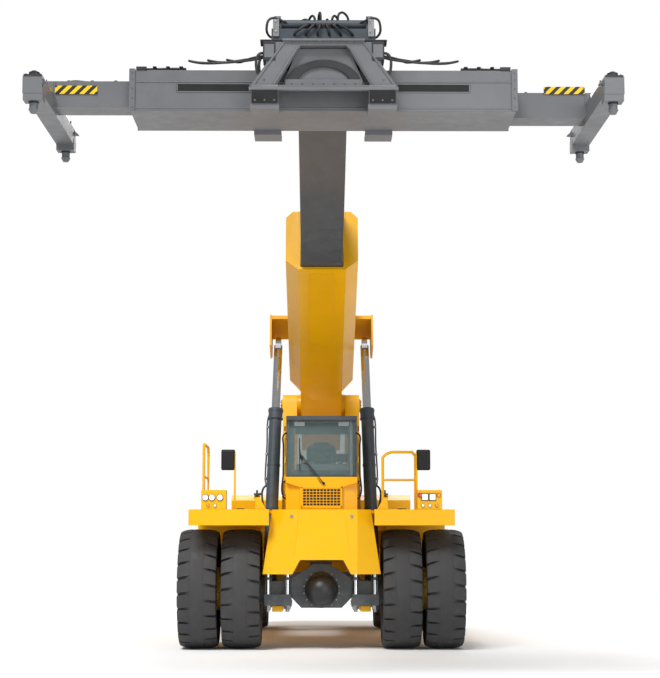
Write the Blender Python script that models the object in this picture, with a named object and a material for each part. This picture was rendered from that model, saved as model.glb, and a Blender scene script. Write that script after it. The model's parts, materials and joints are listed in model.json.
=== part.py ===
"""Reach stacker: a container handler with a telescopic boom and a 20/40 ft spreader.

Metres, +Z up, the front faces -Y, +X is to the right seen from the front. Sizes along Y are
measured from the front axle; the whole machine is then moved so that the middle of its length
is at Y = 0. Boom sizes are measured from its pivot: s forward along the boom, u square to it.
"""
import math

import bmesh
import bpy
from mathutils import Matrix, Vector

# Clearances
SEAT_GAP = 0.0003      # pieces that rest on each other
RUN_GAP = 0.010        # pieces that slide or turn past each other

# Wheels
TYRE_R = 0.875
TYRE_W = 0.565
BEAD_R = 0.3175
DUAL_PITCH = 0.63
FRONT_HALF_W = 2.09    # to the outer wall of the outer front tyre
REAR_TYRE_X = 1.245
WHEELBASE = 6.0
KINGPIN_X = 0.88
KINGPIN_EYE_R = 0.075
RIM_HALF_W = 0.22
WHEEL_SIDES = 32

# Frame
FRAME_HALF_W = 0.30
FRAME_BOTTOM = 1.26
FRAME_TOP = 1.96
DECK_TOP = 2.03
DECK_SHEET = 0.06
FRAME_FRONT = 0.55
FRAME_REAR = WHEELBASE + 1.10

# Front body
NOSE_Y = -0.90
NOSE_HALF_W = 0.515
CHEEK_Y = -0.74
CHEEK_HALF_W = 0.718
LEG_HALF_W = 0.856
LEG_BOTTOM = 1.10
AXLE_GAP_TOP = 1.304
AXLE_GAP_HALF_W = 0.312
LEG_INNER_X = 0.424

# Front axle
AXLE_DEPTH = 0.28
DOME_R = 0.25

# Fenders and side tanks
FENDER_INNER_X = 0.76
FENDER_OUTER_X = 1.92
FENDER_REAR = 1.05
FLAP_BOTTOM = 1.80
TANK_INNER_X = 1.00
TANK_FRONT = 1.09
TANK_REAR = 4.85
TANK_BOTTOM = 0.95

# Cab
CAB_HALF_W = 0.535
CAB_FRONT = 0.0
CAB_REAR = 1.72
CAB_SILL = 2.54
CAB_ROOF = 3.46
CAB_WALL = 0.05
DOOR_FRONT = 0.28
DOOR_REAR = 1.02
DOOR_FOOT = 2.14
DOOR_HEAD = 3.36
DOOR_GAP = 0.008
HINGE_R = 0.012
GLASS = 0.010
GLASS_CORNER_R = 0.105
GLASS_HEAD = 3.385     # top edge of the windscreen

# Engine hood
HOOD_REAR = 3.90
HOOD_HALF_W = 0.62
HOOD_SHEET = 0.05

# Boom
PIVOT_Y = 4.5
PIVOT_Z = 3.95
BOOM_ANGLE = math.radians(18)
BOOM_HALF_W = 0.345
BOOM_WIDE_HALF_W = 0.525
BOOM_LOW = -0.35
BOOM_HIGH = 0.60
BOOM_WALL = 0.035
BOOM_TAIL = -1.30
BOOM_END = 6.00
INNER_TAIL = 3.40
INNER_END = 10.60
HEAD_S = 11.77
HEAD_U = -0.67
HEAD_R = 0.16
NOSE_HALF = 0.20
TOWER_INNER_X = 0.42
TOWER_OUTER_X = 0.69

# Lift cylinders
FOOT_X = 0.82
FOOT_Y = 1.20
FOOT_Z = 0.85
EYE_X = 0.70
EYE_S = 2.60
EAR_X = 0.80           # inner face of the ear plate outside the rod eye
BARREL_R = 0.10
BARREL_LENGTH = 2.90
ROD_R = 0.0675
ROD_LENGTH = 2.95
ROD_SIDES = 24
FOOT_PIN_R = 0.07
CHEEK_OUTER_X = FOOT_X - BARREL_R - 0.05
CHEEK_W = 0.10
FOOT_PLATE_X = FOOT_X + BARREL_R + 0.015
FOOT_EYE_HALF_W = BARREL_R
FOOT_SIDE_GAP = 0.0035  # the barrel leans a little inwards, so its eye sits askew on the pin

# Spreader
ROTATOR_Y = -7.84
FRAME_LOW = 6.24       # bottom flange of the rotator frame
FRAME_HIGH = 6.75
FRAME_DECK_LOW = 6.60
GRIP = 0.05            # depth of the frame's feet below the main beam
GRIP_REACH = 0.04      # how far the feet reach in under its edge
SIDE_FRAME_Y = 0.72
SIDE_FRAME_LOW_HALF = 0.755
SIDE_FRAME_HIGH_HALF = 0.415
MAIN_HALF_D = 0.45
MAIN_LOW = 6.06
MAIN_HIGH = 6.50
BEAM_LOW = 6.11
BEAM_HIGH = 6.39
BEAM_D = 0.36
BEAM_OVERLAP = 1.20    # how far each sliding beam reaches past the middle
SPREADER_HALF_L = 3.03
MAIN_HALF_L = SPREADER_HALF_L - 1.00
END_BEAM_W = 0.20
END_BEAM_LOW = 6.05
END_BEAM_HIGH = 6.23
LOCK_SEAT = 5.98       # underside of the corner blocks, which rests on the container
LOCK_HALF_SPAN = 1.13
LOCK_INSET = 0.1035     # from the end of the spreader to the twistlock's axis

# The whole machine runs from the front edge of the spreader to the back of the counterweight.
COUNTERWEIGHT_REAR = WHEELBASE + 1.50
COUNTERWEIGHT_HALF_W = 1.60
ARCH_Y = WHEELBASE + 1.13   # front of the counterweight's foot, behind the rear tyres
END_BEAM_HALF_D = LOCK_HALF_SPAN + 0.09
MACHINE_SHIFT = -0.5 * (ROTATOR_Y - END_BEAM_HALF_D + COUNTERWEIGHT_REAR)


# ---- Closed shapes, each returned as a bmesh ----

def block(x, y, z):
    bm = bmesh.new()
    bmesh.ops.create_cube(bm, size=1)
    for vert in bm.verts:
        vert.co = Vector([lo + (c + 0.5) * (hi - lo) for c, (lo, hi) in zip(vert.co, (x, y, z))])
    return bm


def facing_out(bm):
    bmesh.ops.recalc_face_normals(bm, faces=bm.faces)
    if bm.calc_volume(signed=True) < 0:
        bmesh.ops.reverse_faces(bm, faces=bm.faces)
    return bm


def loft(sections):
    """A closed body through rings of points, capped at both ends."""
    bm = bmesh.new()
    rings = [[bm.verts.new(point) for point in section] for section in sections]
    count = len(rings[0])
    bm.faces.new(rings[0])
    bm.faces.new(list(reversed(rings[-1])))
    for low, high in zip(rings, rings[1:]):
        for i in range(count):
            j = (i + 1) % count
            bm.faces.new((low[i], high[i], high[j], low[j]))
    return facing_out(bm)


def prism(outline, axis, low, high):
    """A flat outline pushed along one axis; its points are the other two coordinates in order."""
    def place(point, along):
        coords = list(point)
        coords.insert("xyz".index(axis), along)
        return coords
    return loft([[place(p, low) for p in outline], [place(p, high) for p in outline]])


def mirrored(points):
    """An outline on the +X side followed by its mirror image, so that it closes across X = 0."""
    return list(points) + [(-x, other) for x, other in reversed(points)]


def ring_points(centre, direction, radius, sides):
    turn = Vector((0, 0, 1)).rotation_difference(Vector(direction)).to_matrix()
    return [Vector(centre) + turn @ Vector((radius * math.cos(a), radius * math.sin(a), 0))
            for a in (2 * math.pi * (i + 0.5) / sides for i in range(sides))]


def rod(start, end, radius, sides=16, end_radius=None):
    start, end = Vector(start), Vector(end)
    last = radius if end_radius is None else end_radius
    return loft([ring_points(start, end - start, radius, sides),
                 ring_points(end, end - start, last, sides)])


def tube(points, radius, sides=8):
    """A bent bar with mitred corners and flat ends."""
    points = [Vector(p) for p in points]
    rings = []
    for i, point in enumerate(points):
        before = (point - points[i - 1]).normalized() if i else None
        after = (points[i + 1] - point).normalized() if i + 1 < len(points) else None
        if before is None or after is None:
            direction = after or before
            rings.append(ring_points(point, direction, radius, sides))
            continue
        normal = (before + after).normalized()
        rings.append([p + before * ((point - p).dot(normal) / before.dot(normal))
                      for p in rings[-1]])
    return loft(rings)


def turned(profile, centre, sides=WHEEL_SIDES):
    """A profile of (along X, radius) points turned round the X axis; ends on the axis are closed."""
    bm = bmesh.new()
    verts = [bm.verts.new((x, 0, -r)) for x, r in profile]
    on_axis = profile[0][1] == 0 and profile[-1][1] == 0
    pairs = list(zip(verts, verts[1:])) + ([] if on_axis else [(verts[-1], verts[0])])
    edges = [bm.edges.new(pair) for pair in pairs]
    bmesh.ops.spin(bm, geom=verts + edges, axis=(1, 0, 0), cent=(0, 0, 0),
                   angle=2 * math.pi, steps=sides, use_merge=True)
    bmesh.ops.remove_doubles(bm, verts=bm.verts, dist=1e-6)
    bmesh.ops.translate(bm, verts=bm.verts, vec=Vector(centre))
    return facing_out(bm)


def dome(centre, radius, stretch):
    bm = bmesh.new()
    bmesh.ops.create_uvsphere(bm, u_segments=24, v_segments=12, radius=radius)
    bmesh.ops.scale(bm, verts=bm.verts, vec=Vector(stretch))
    bmesh.ops.translate(bm, verts=bm.verts, vec=Vector(centre))
    return bm


# ---- Objects ----

def paint(name, colour, roughness, metallic=0.0):
    material = bpy.data.materials.new(name)
    material.use_nodes = True
    shader = material.node_tree.nodes["Principled BSDF"]
    shader.inputs["Base Color"].default_value = (*colour, 1)
    shader.inputs["Roughness"].default_value = roughness
    shader.inputs["Metallic"].default_value = metallic
    material.diffuse_color = (*colour, 1)
    return material


def mesh_object(name, shapes, parent):
    mesh = bpy.data.meshes.new(name)
    joined = bmesh.new()
    for shape in shapes:
        piece = bpy.data.meshes.new("piece")
        shape.to_mesh(piece)
        shape.free()
        joined.from_mesh(piece)
        bpy.data.meshes.remove(piece)
    joined.to_mesh(mesh)
    joined.free()
    thing = bpy.data.objects.new(name, mesh)
    bpy.context.scene.collection.objects.link(thing)
    thing.parent = parent
    return thing


def solid(name, shapes, material, parent, cuts=(), round_edges=False):
    """One closed body: the first shape with the others joined on and the cuts taken out."""
    shapes = list(shapes)
    thing = mesh_object(name, shapes[:1], parent)
    for kind, operands in (("UNION", shapes[1:]), ("DIFFERENCE", list(cuts))):
        for number, operand in enumerate(operands):
            helper = mesh_object(f"{name}.{kind.lower()}{number}", [operand], parent)
            helper.hide_render = True
            helper.display_type = "WIRE"
            boolean = thing.modifiers.new(helper.name, "BOOLEAN")
            boolean.operation = kind
            boolean.object = helper
    thing.data.materials.append(material)
    if round_edges:
        thing.data.shade_smooth()
        thing.data.set_sharp_from_angle(angle=math.radians(40))
    return thing


def joint_empty(name, location, parent, rotation=None):
    empty = bpy.data.objects.new(name, None)
    empty.location = location
    if rotation is not None:
        empty.rotation_mode = "QUATERNION"
        empty.rotation_quaternion = rotation
    bpy.context.scene.collection.objects.link(empty)
    empty.parent = parent
    return empty


def span(sign, near, far):
    """(low, high) along X of something between near and far on the side that sign gives."""
    return tuple(sorted((sign * near, sign * far)))


SIDES = (("left", -1), ("right", 1))


def machine_paints():
    return {
        "yellow": paint("yellow_paint", (0.95, 0.55, 0.0), 0.4),
        "slate": paint("slate_paint", (0.045, 0.06, 0.075), 0.45),
        "grey": paint("spreader_paint", (0.13, 0.135, 0.145), 0.5),
        "chrome": paint("chrome", (0.8, 0.8, 0.82), 0.12, 1.0),
        "tyre": paint("tyre_rubber", (0.04, 0.04, 0.042), 0.8),
        "black": paint("black_parts", (0.02, 0.02, 0.022), 0.5),
        "glass": paint("cab_glass", (0.25, 0.32, 0.33), 0.08),
        "seat": paint("seat_cover", (0.05, 0.05, 0.055), 0.9),
    }


# ---- Chassis ----

def front_body(paints, parent):
    top = DECK_TOP

    def outline(half_w, z):
        points = [(NOSE_HALF_W, NOSE_Y), (half_w, CHEEK_Y), (half_w, FRAME_FRONT)]
        return [(x, y, z) for x, y in mirrored(points)]

    hull = loft([outline(LEG_HALF_W, LEG_BOTTOM), outline(CHEEK_HALF_W, top)])
    gap = prism([(LEG_INNER_X, LEG_BOTTOM - 0.1), (LEG_INNER_X, LEG_BOTTOM),
                 (AXLE_GAP_HALF_W, AXLE_GAP_TOP), (-AXLE_GAP_HALF_W, AXLE_GAP_TOP),
                 (-LEG_INNER_X, LEG_BOTTOM), (-LEG_INNER_X, LEG_BOTTOM - 0.1)],
                "y", NOSE_Y - 0.1, FRAME_FRONT + 0.1)
    cab_shelf = block((-0.62, 0.62), (FRAME_FRONT - 0.1, CAB_REAR + 0.05),
                      (FRAME_TOP + SEAT_GAP, DECK_TOP))
    shapes = [hull, cab_shelf]
    for _, sign in SIDES:
        cheek = [(FRAME_FRONT - 0.08, 1.20), (FRAME_FRONT - 0.08, FRAME_TOP - 0.01),
                 (FOOT_Y + 0.3, FRAME_TOP - 0.01), (FOOT_Y + 0.22, FOOT_Z - 0.15),
                 (FOOT_Y - 0.16, FOOT_Z - 0.15), (FRAME_FRONT + 0.25, 1.20)]
        shapes.append(prism(cheek, "x", *span(sign, CHEEK_OUTER_X - CHEEK_W, CHEEK_OUTER_X)))
        outer = [(FOOT_Y - 0.15, FOOT_Z - 0.15), (FOOT_Y - 0.12, FOOT_Z + 0.2),
                 (FOOT_Y + 0.16, FOOT_Z + 0.2), (FOOT_Y + 0.2, FOOT_Z - 0.15)]
        shapes.append(prism(outer, "x", *span(sign, FOOT_PLATE_X, FOOT_PLATE_X + 0.04)))
        shapes.append(rod((sign * (CHEEK_OUTER_X - 0.05), FOOT_Y, FOOT_Z),
                          (sign * (FOOT_PLATE_X + 0.055), FOOT_Y, FOOT_Z), FOOT_PIN_R))
        for near, far in ((CHEEK_OUTER_X - 0.03, FOOT_X - FOOT_EYE_HALF_W - FOOT_SIDE_GAP),
                          (FOOT_X + FOOT_EYE_HALF_W + FOOT_SIDE_GAP, FOOT_PLATE_X + 0.02)):
            shapes.append(rod((sign * near, FOOT_Y, FOOT_Z), (sign * far, FOOT_Y, FOOT_Z), 0.10, 20))
        shapes.append(block(span(sign, 0.60, FENDER_INNER_X - SEAT_GAP), (-0.55, -0.2),
                            (DECK_TOP - DECK_SHEET + 0.005, DECK_TOP - 0.01)))
    return solid("front_body", shapes, paints["yellow"], parent, cuts=[gap])


def main_frame(paints, parent):
    beam = block((-FRAME_HALF_W, FRAME_HALF_W), (FRAME_FRONT + SEAT_GAP, FRAME_REAR),
                 (FRAME_BOTTOM, FRAME_TOP))
    reach = TANK_INNER_X - SEAT_GAP
    arms = [block((-reach, reach), (y, y + 0.3), (1.45, 1.75)) for y in (1.80, 4.25)]
    return solid("main_frame", [beam, *arms], paints["yellow"], parent)


def front_axle(paints, parent):
    outline = mirrored([(0.12, 1.234), (0.376, 1.069), (0.55, 1.00), (0.84, 0.98),
                        (0.84, 0.77), (0.45, 0.76), (0.30, 0.60)])
    housing = prism(outline, "y", -AXLE_DEPTH, AXLE_DEPTH)
    cover = dome((0, -AXLE_DEPTH, 0.865), DOME_R, (0.97, 1.0, 1.08))
    hub_face = FRONT_HALF_W - TYRE_W / 2 - 0.12
    shapes = [housing, cover]
    for _, sign in SIDES:
        shapes.append(rod((sign * 0.80, 0, TYRE_R), (sign * 1.50, 0, TYRE_R), 0.225, 24))
        shapes.append(rod((sign * 1.4, 0, TYRE_R), (sign * (hub_face - SEAT_GAP), 0, TYRE_R), 0.12, 16))
        shapes.append(block(span(sign, 0.45, 0.84), (-0.43, 0.43), (0.64, 0.80)))
        for x in (0.50, 0.79):
            for y in (-0.36, 0.36):
                shapes.append(rod((sign * x, y, 0.62), (sign * x, y, LEG_BOTTOM - SEAT_GAP), 0.035, 12))
    return solid("front_axle", shapes, paints["slate"], parent, round_edges=True)


def rear_axle(paints, parent):
    y = WHEELBASE
    beam = block((-0.80, 0.80), (y - 0.11, y + 0.11), (0.74, 1.01))
    trunnion = block((-0.2, 0.2), (y - 0.22, y + 0.22), (0.95, FRAME_BOTTOM - SEAT_GAP))
    shapes = [beam, trunnion]
    for _, sign in SIDES:
        shapes.append(block(span(sign, 0.74, 0.78), (y - 0.09, y + 0.09), (0.64, 1.11)))
        for low, high in ((0.64, 0.71), (1.04, 1.11)):
            shapes.append(block(span(sign, 0.76, KINGPIN_X), (y - KINGPIN_EYE_R, y + KINGPIN_EYE_R), (low, high)))
            shapes.append(rod((sign * KINGPIN_X, y, low), (sign * KINGPIN_X, y, high), KINGPIN_EYE_R, 24))
    return solid("rear_axle", shapes, paints["slate"], parent)


def counterweight(paints, parent):
    side = [(TANK_REAR + 0.25, 1.99), (TANK_REAR + 0.25, 2.30), (TANK_REAR + 0.55, 2.40),
            (COUNTERWEIGHT_REAR - 0.15, 2.40),
            (COUNTERWEIGHT_REAR, 2.25), (COUNTERWEIGHT_REAR, 0.85), (ARCH_Y + 0.29, 0.75), (ARCH_Y, 0.75),
            (ARCH_Y, 1.90), (ARCH_Y - 0.23, 1.99)]
    body = prism(side, "x", -COUNTERWEIGHT_HALF_W, COUNTERWEIGHT_HALF_W)
    slot = block((-FRAME_HALF_W - SEAT_GAP, FRAME_HALF_W + SEAT_GAP),
                 (ARCH_Y - 0.33, FRAME_REAR + SEAT_GAP), (FRAME_BOTTOM - 0.02, FRAME_TOP + SEAT_GAP))
    saddle = block((-FRAME_HALF_W, FRAME_HALF_W), (TANK_REAR + 0.45, ARCH_Y - 0.23),
                   (FRAME_TOP + SEAT_GAP, 2.1))
    return solid("counterweight", [body, saddle], paints["yellow"], parent, cuts=[slot])


def engine(paints, parent):
    solid("engine_block", [block((-0.38, 0.38), (2.2, 3.5), (FRAME_TOP + SEAT_GAP, 2.50))],
          paints["slate"], parent)
    front = CAB_REAR + 0.12
    outside = [(HOOD_HALF_W, FRAME_TOP + 0.05), (HOOD_HALF_W, 2.50), (HOOD_HALF_W - 0.10, 2.62)]
    hood = prism(mirrored(outside), "y", front, HOOD_REAR)
    half_w = HOOD_HALF_W - HOOD_SHEET
    inside = block((-half_w, half_w), (front + HOOD_SHEET, HOOD_REAR - HOOD_SHEET), (FRAME_TOP - 0.1, 2.56))
    feet = [block(span(sign, 0.20, HOOD_HALF_W - 0.02), (y, y + HOOD_SHEET), (FRAME_TOP + SEAT_GAP, 2.06))
            for _, sign in SIDES for y in (front + 0.002, HOOD_REAR - HOOD_SHEET - 0.002)]
    solid("engine_hood", [hood, *feet], paints["yellow"], parent, cuts=[inside])


def boom_towers(paints, parent):
    side = [(PIVOT_Y - 0.55, FRAME_TOP + SEAT_GAP), (PIVOT_Y - 0.22, 3.3), (PIVOT_Y - 0.2, 4.0),
            (PIVOT_Y - 0.1, 4.13), (PIVOT_Y + 0.1, 4.13), (PIVOT_Y + 0.2, 4.0),
            (PIVOT_Y + 0.26, 3.3), (PIVOT_Y + 0.6, FRAME_TOP + SEAT_GAP)]
    foot = block((-TOWER_OUTER_X + 0.02, TOWER_OUTER_X - 0.02), (PIVOT_Y - 0.5, PIVOT_Y + 0.5),
                 (FRAME_TOP + SEAT_GAP, 2.20))
    shapes = [foot]
    for _, sign in SIDES:
        shapes.append(prism(side, "x", *span(sign, TOWER_INNER_X, TOWER_OUTER_X - 0.02)))
        shapes.append(rod((sign * (TOWER_OUTER_X - 0.1), PIVOT_Y, PIVOT_Z),
                          (sign * TOWER_OUTER_X, PIVOT_Y, PIVOT_Z), 0.12, 20))
    return solid("boom_towers", shapes, paints["yellow"], parent)


def fender(side, sign, paints, parent):
    plate = [(NOSE_Y - 0.05, FLAP_BOTTOM), (NOSE_Y - 0.05, DECK_TOP), (FENDER_REAR, DECK_TOP),
             (FENDER_REAR, DECK_TOP - DECK_SHEET), (NOSE_Y, DECK_TOP - DECK_SHEET), (NOSE_Y, FLAP_BOTTOM)]
    sheet = prism(plate, "x", *span(sign, FENDER_INNER_X, FENDER_OUTER_X))
    solid(f"fender_{side}", [sheet], paints["yellow"], parent)


def side_tank(side, sign, paints, parent):
    outline = [(TANK_FRONT, TANK_BOTTOM + 0.1), (TANK_FRONT, DECK_TOP), (TANK_REAR, DECK_TOP),
               (TANK_REAR, 1.4), (TANK_REAR - 0.35, TANK_BOTTOM), (TANK_FRONT + 0.1, TANK_BOTTOM)]
    body = prism(outline, "x", *span(sign, TANK_INNER_X, FENDER_OUTER_X))
    steps = [block(span(sign, FENDER_OUTER_X - 0.28, FENDER_OUTER_X + 0.1), (1.30, 1.85), (z, z + 0.26))
             for z in (1.12, 1.45, 1.78)]
    solid(f"side_tank_{side}", [body], paints["yellow"], parent, cuts=steps)


def lamp_box(side, sign, paints, parent):
    box = block(span(sign, 1.38, 1.74), (NOSE_Y - 0.03, NOSE_Y + 0.22), (DECK_TOP + SEAT_GAP, 2.31))
    solid(f"lamp_box_{side}", [box], paints["yellow"], parent)


def mirror(side, sign, x, paints, parent):
    y = NOSE_Y + 0.30
    stem_x = x - sign * 0.06
    stem = tube([(stem_x, y, DECK_TOP + SEAT_GAP), (stem_x, y, 2.70), (x, y, 2.76)], 0.02)
    head = block((x - 0.115, x + 0.115), (y - 0.05, y + 0.02), (2.54, 2.925))
    solid(f"mirror_{side}", [stem, head], paints["black"], parent)


def rails(paints, parent):
    foot = DECK_TOP + SEAT_GAP
    left = tube([(-1.73, -0.55, foot), (-1.73, -0.55, 2.92), (-1.73, -0.48, 2.99), (-1.73, 0.42, 2.99),
                 (-1.73, 0.5, 2.92), (-1.73, 0.5, foot)], 0.022)
    left_mid = tube([(-1.73, -0.55, 2.52), (-1.73, 0.5, 2.52)], 0.018)
    solid("rail_left", [left, left_mid], paints["yellow"], parent, round_edges=True)
    y = -0.45
    right = tube([(0.90, y, foot), (0.90, y, 2.80), (0.95, y, 2.85), (1.03, y, 2.88), (1.33, y, 2.88),
                  (1.38, y, 2.83), (1.38, y, foot)], 0.022)
    right_mid = tube([(0.90, y, 2.47), (1.38, y, 2.47)], 0.018)
    solid("rail_right", [right, right_mid], paints["yellow"], parent, round_edges=True)


# ---- Cab ----

def cab_front_line(z):
    """The cab's front leans back above the sill."""
    return CAB_FRONT + 0.02 + 0.11 * max(0.0, z - CAB_SILL)


def cab_base(paints, parent):
    low = DECK_TOP + SEAT_GAP
    tub = block((-CAB_HALF_W, CAB_HALF_W), (CAB_FRONT, CAB_REAR), (low, CAB_SILL - SEAT_GAP))
    wall = CAB_WALL
    room = block((-CAB_HALF_W + wall, CAB_HALF_W - wall), (CAB_FRONT + wall, CAB_REAR - wall),
                 (low + wall, CAB_SILL + 0.1))
    doorway = block((-CAB_HALF_W - 0.1, CAB_HALF_W + 0.1), (DOOR_FRONT, DOOR_REAR),
                    (DOOR_FOOT, CAB_SILL + 0.1))
    return solid("cab_base", [tub], paints["yellow"], parent, cuts=[room, doorway])


def cab_frame(paints, parent):
    def side(grow, roof):
        return [(cab_front_line(CAB_SILL) + grow, CAB_SILL - (0.1 if grow else 0)),
                (CAB_REAR - grow, CAB_SILL - (0.1 if grow else 0)),
                (CAB_REAR - grow, roof - 0.06), (CAB_REAR - grow - 0.06, roof),
                (cab_front_line(roof) + grow + 0.05, roof), (cab_front_line(roof) + grow, roof - 0.05)]
    wall = CAB_WALL
    shell = prism(side(0, CAB_ROOF), "x", -CAB_HALF_W, CAB_HALF_W)
    visor = block((-CAB_HALF_W + 0.01, CAB_HALF_W - 0.01), (CAB_FRONT + 0.03, CAB_FRONT + 0.3),
                  (CAB_ROOF - 0.07, CAB_ROOF - 0.01))
    room = prism(side(wall, CAB_ROOF - 0.05), "x", -CAB_HALF_W + wall, CAB_HALF_W - wall)
    front = block((-1, 1), (CAB_FRONT - 0.2, cab_front_line(CAB_ROOF) + 0.07), (CAB_SILL - 0.1, GLASS_HEAD))
    doorway = block((-1, 1), (DOOR_FRONT, DOOR_REAR), (CAB_SILL - 0.1, DOOR_HEAD))
    quarter = block((-1, 1), (DOOR_REAR + 0.10, CAB_REAR - 0.08), (CAB_SILL + 0.06, DOOR_HEAD))
    back = block((-0.43, 0.43), (CAB_REAR - 0.3, CAB_REAR + 0.1), (CAB_SILL + 0.06, DOOR_HEAD))
    corner = block((-1, 1), (CAB_FRONT - 0.2, DOOR_FRONT - 0.05), (CAB_SILL - 0.1, GLASS_HEAD))
    frame = solid("cab_frame", [shell, visor], paints["yellow"], parent,
                  cuts=[room, front, doorway, quarter, back, corner])
    return frame


def wrap_glass(paints, parent):
    """The windscreen with its two curved corners, open at the back."""
    outer_x = CAB_HALF_W - 0.004
    reach = DOOR_FRONT - 0.05 - SEAT_GAP

    def outline(z, inset):
        front = cab_front_line(z) + inset
        x = outer_x - inset
        r = GLASS_CORNER_R - inset
        points = [(x, reach)]
        for step in range(5):
            angle = step / 4 * math.pi / 2
            points.append((x - r + r * math.cos(angle), front + r - r * math.sin(angle)))
        return points

    def ring(z):
        outside = outline(z, 0)
        inside = outline(z, GLASS)
        right = [(x, y, z) for x, y in outside]
        left = [(-x, y, z) for x, y in reversed(outside)]
        left_in = [(-x, y, z) for x, y in inside]
        right_in = [(x, y, z) for x, y in reversed(inside)]
        return right + left + left_in + right_in

    sections = [ring(CAB_SILL + SEAT_GAP), ring(GLASS_HEAD - SEAT_GAP)]
    return solid("windscreen", [loft(sections)], paints["glass"], parent, round_edges=True)


def cab_pillars(paints, parent):
    """Dark posts behind the windscreen, one each side, joined by the dash beam."""
    shapes = [block((-0.46, 0.46), (0.10, 0.17), (CAB_SILL + 0.02, CAB_SILL + 0.10))]
    for _, sign in SIDES:
        def corners(z):
            y = cab_front_line(z) + 0.035
            x0, x1 = span(sign, 0.41, 0.455)
            return [(x0, y, z), (x1, y, z), (x1, y + 0.09, z), (x0, y + 0.09, z)]
        shapes.append(loft([corners(CAB_SILL + SEAT_GAP), corners(GLASS_HEAD - SEAT_GAP)]))
    return solid("cab_pillars", shapes, paints["black"], parent)


def rear_window(paints, parent):
    pane = block((-0.43 + SEAT_GAP, 0.43 - SEAT_GAP), (CAB_REAR - 0.03, CAB_REAR - 0.03 + GLASS),
                 (CAB_SILL + 0.06 + SEAT_GAP, DOOR_HEAD - SEAT_GAP))
    return solid("rear_window", [pane], paints["glass"], parent)


def cab_door(side, sign, paints, parent):
    """A framed door hung on its front edge, with its pane; the parent stands on the hinge line."""
    y0, y1 = DOOR_FRONT + DOOR_GAP - DOOR_FRONT, DOOR_REAR - DOOR_GAP - DOOR_FRONT
    z0, z1 = DOOR_FOOT + DOOR_GAP, DOOR_HEAD - DOOR_GAP
    out = HINGE_R + SEAT_GAP
    x = span(sign, -0.03 - out, 0.0)
    hinge = joint_empty(f"door_hinge_{side}", (sign * (CAB_HALF_W + out), DOOR_FRONT, 0), parent)
    leaf = block(x, (y0, y1), (z0, z1))
    knuckles = []
    for z in (z0 + 0.12, 0.5 * (z0 + z1), z1 - 0.22):
        knuckles.append(rod((0, 0, z), (0, 0, z + 0.10), HINGE_R, 12))
        knuckles.append(block(span(sign, -0.004, 0.004), (0, y0 + 0.05), (z, z + 0.10)))
    window = block((-0.3, 0.3), (y0 + 0.06, y1 - 0.06), (CAB_SILL + 0.05, z1 - 0.06))
    solid(f"cab_door_{side}", [leaf, *knuckles], paints["yellow"], hinge, cuts=[window])
    pane = block(span(sign, -0.010 - GLASS, -0.010), (y0 + 0.06 + SEAT_GAP, y1 - 0.06 - SEAT_GAP),
                 (CAB_SILL + 0.05 + SEAT_GAP, z1 - 0.06 - SEAT_GAP))
    solid(f"door_glass_{side}", [pane], paints["glass"], hinge)


def cab_fittings(paints, parent):
    floor = DECK_TOP + SEAT_GAP + CAB_WALL + SEAT_GAP
    base = block((-0.19, 0.19), (0.98, 1.36), (floor, 2.44))
    cushion = block((-0.25, 0.25), (0.88, 1.40), (2.42, 2.54))
    back = prism([(1.30, 2.50), (1.42, 2.50), (1.55, 3.10), (1.45, 3.10)], "x", -0.24, 0.24)
    arms = [block(span(sign, 0.27, 0.36), (0.90, 1.34), (2.66, 2.72)) for _, sign in SIDES]
    brackets = [block(span(sign, 0.20, 0.30), (1.30, 1.36), (2.52, 2.70)) for _, sign in SIDES]
    solid("operator_seat", [base, cushion, back, *arms, *brackets], paints["seat"], parent)
    column = tube([(0, 0.40, floor), (0, 0.40, 2.45), (0, 0.52, 2.74)], 0.045, 12)
    along = Vector((0, 0.12, 0.29)).normalized()
    top = Vector((0, 0.52, 2.74))
    wheel = rod(top - along * 0.012, top + along * 0.012, 0.19, 24)
    solid("steering_column", [column, wheel], paints["black"], parent, round_edges=True)


# ---- Wheels ----

def tyre_profile(centre, sign):
    half = TYRE_W / 2
    outer = [(RIM_HALF_W - 0.06, BEAD_R + SEAT_GAP), (half - 0.03, 0.42), (half, 0.60), (half - 0.01, 0.78),
             (half - 0.05, 0.85), (half - 0.13, TYRE_R)]
    loop = [(-x, r) for x, r in outer] + [(x, r) for x, r in reversed(outer)]
    return [(sign * centre + x, r) for x, r in loop]


def front_wheel(side, sign, paints, parent):
    axle = joint_empty(f"front_wheel_axle_{side}", (0, 0, TYRE_R), parent)
    outer = FRONT_HALF_W - TYRE_W / 2
    inner = outer - DUAL_PITCH
    face = outer - 0.12
    rim = [(inner - RIM_HALF_W, 0.27), (inner - RIM_HALF_W, 0.345), (inner - 0.19, 0.345),
           (inner - 0.19, BEAD_R), (outer + 0.19, BEAD_R), (outer + 0.19, 0.345),
           (outer + RIM_HALF_W, 0.345), (outer + RIM_HALF_W, 0.29), (outer - 0.04, 0.27),
           (outer - 0.06, 0.18), (outer + 0.10, 0.16), (outer + 0.12, 0.0)]
    bore = [(face, 0.0), (face, 0.27)]
    profile = rim + bore
    solid(f"front_rim_{side}", [turned([(sign * x, r) for x, r in profile[-2:] + profile[:-2]], (0, 0, 0))],
          paints["yellow"], axle, round_edges=True)
    for place, x in (("outer", outer), ("inner", inner)):
        solid(f"front_tyre_{place}_{side}", [turned(tyre_profile(x, sign), (0, 0, 0))],
              paints["tyre"], axle, round_edges=True)


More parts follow.
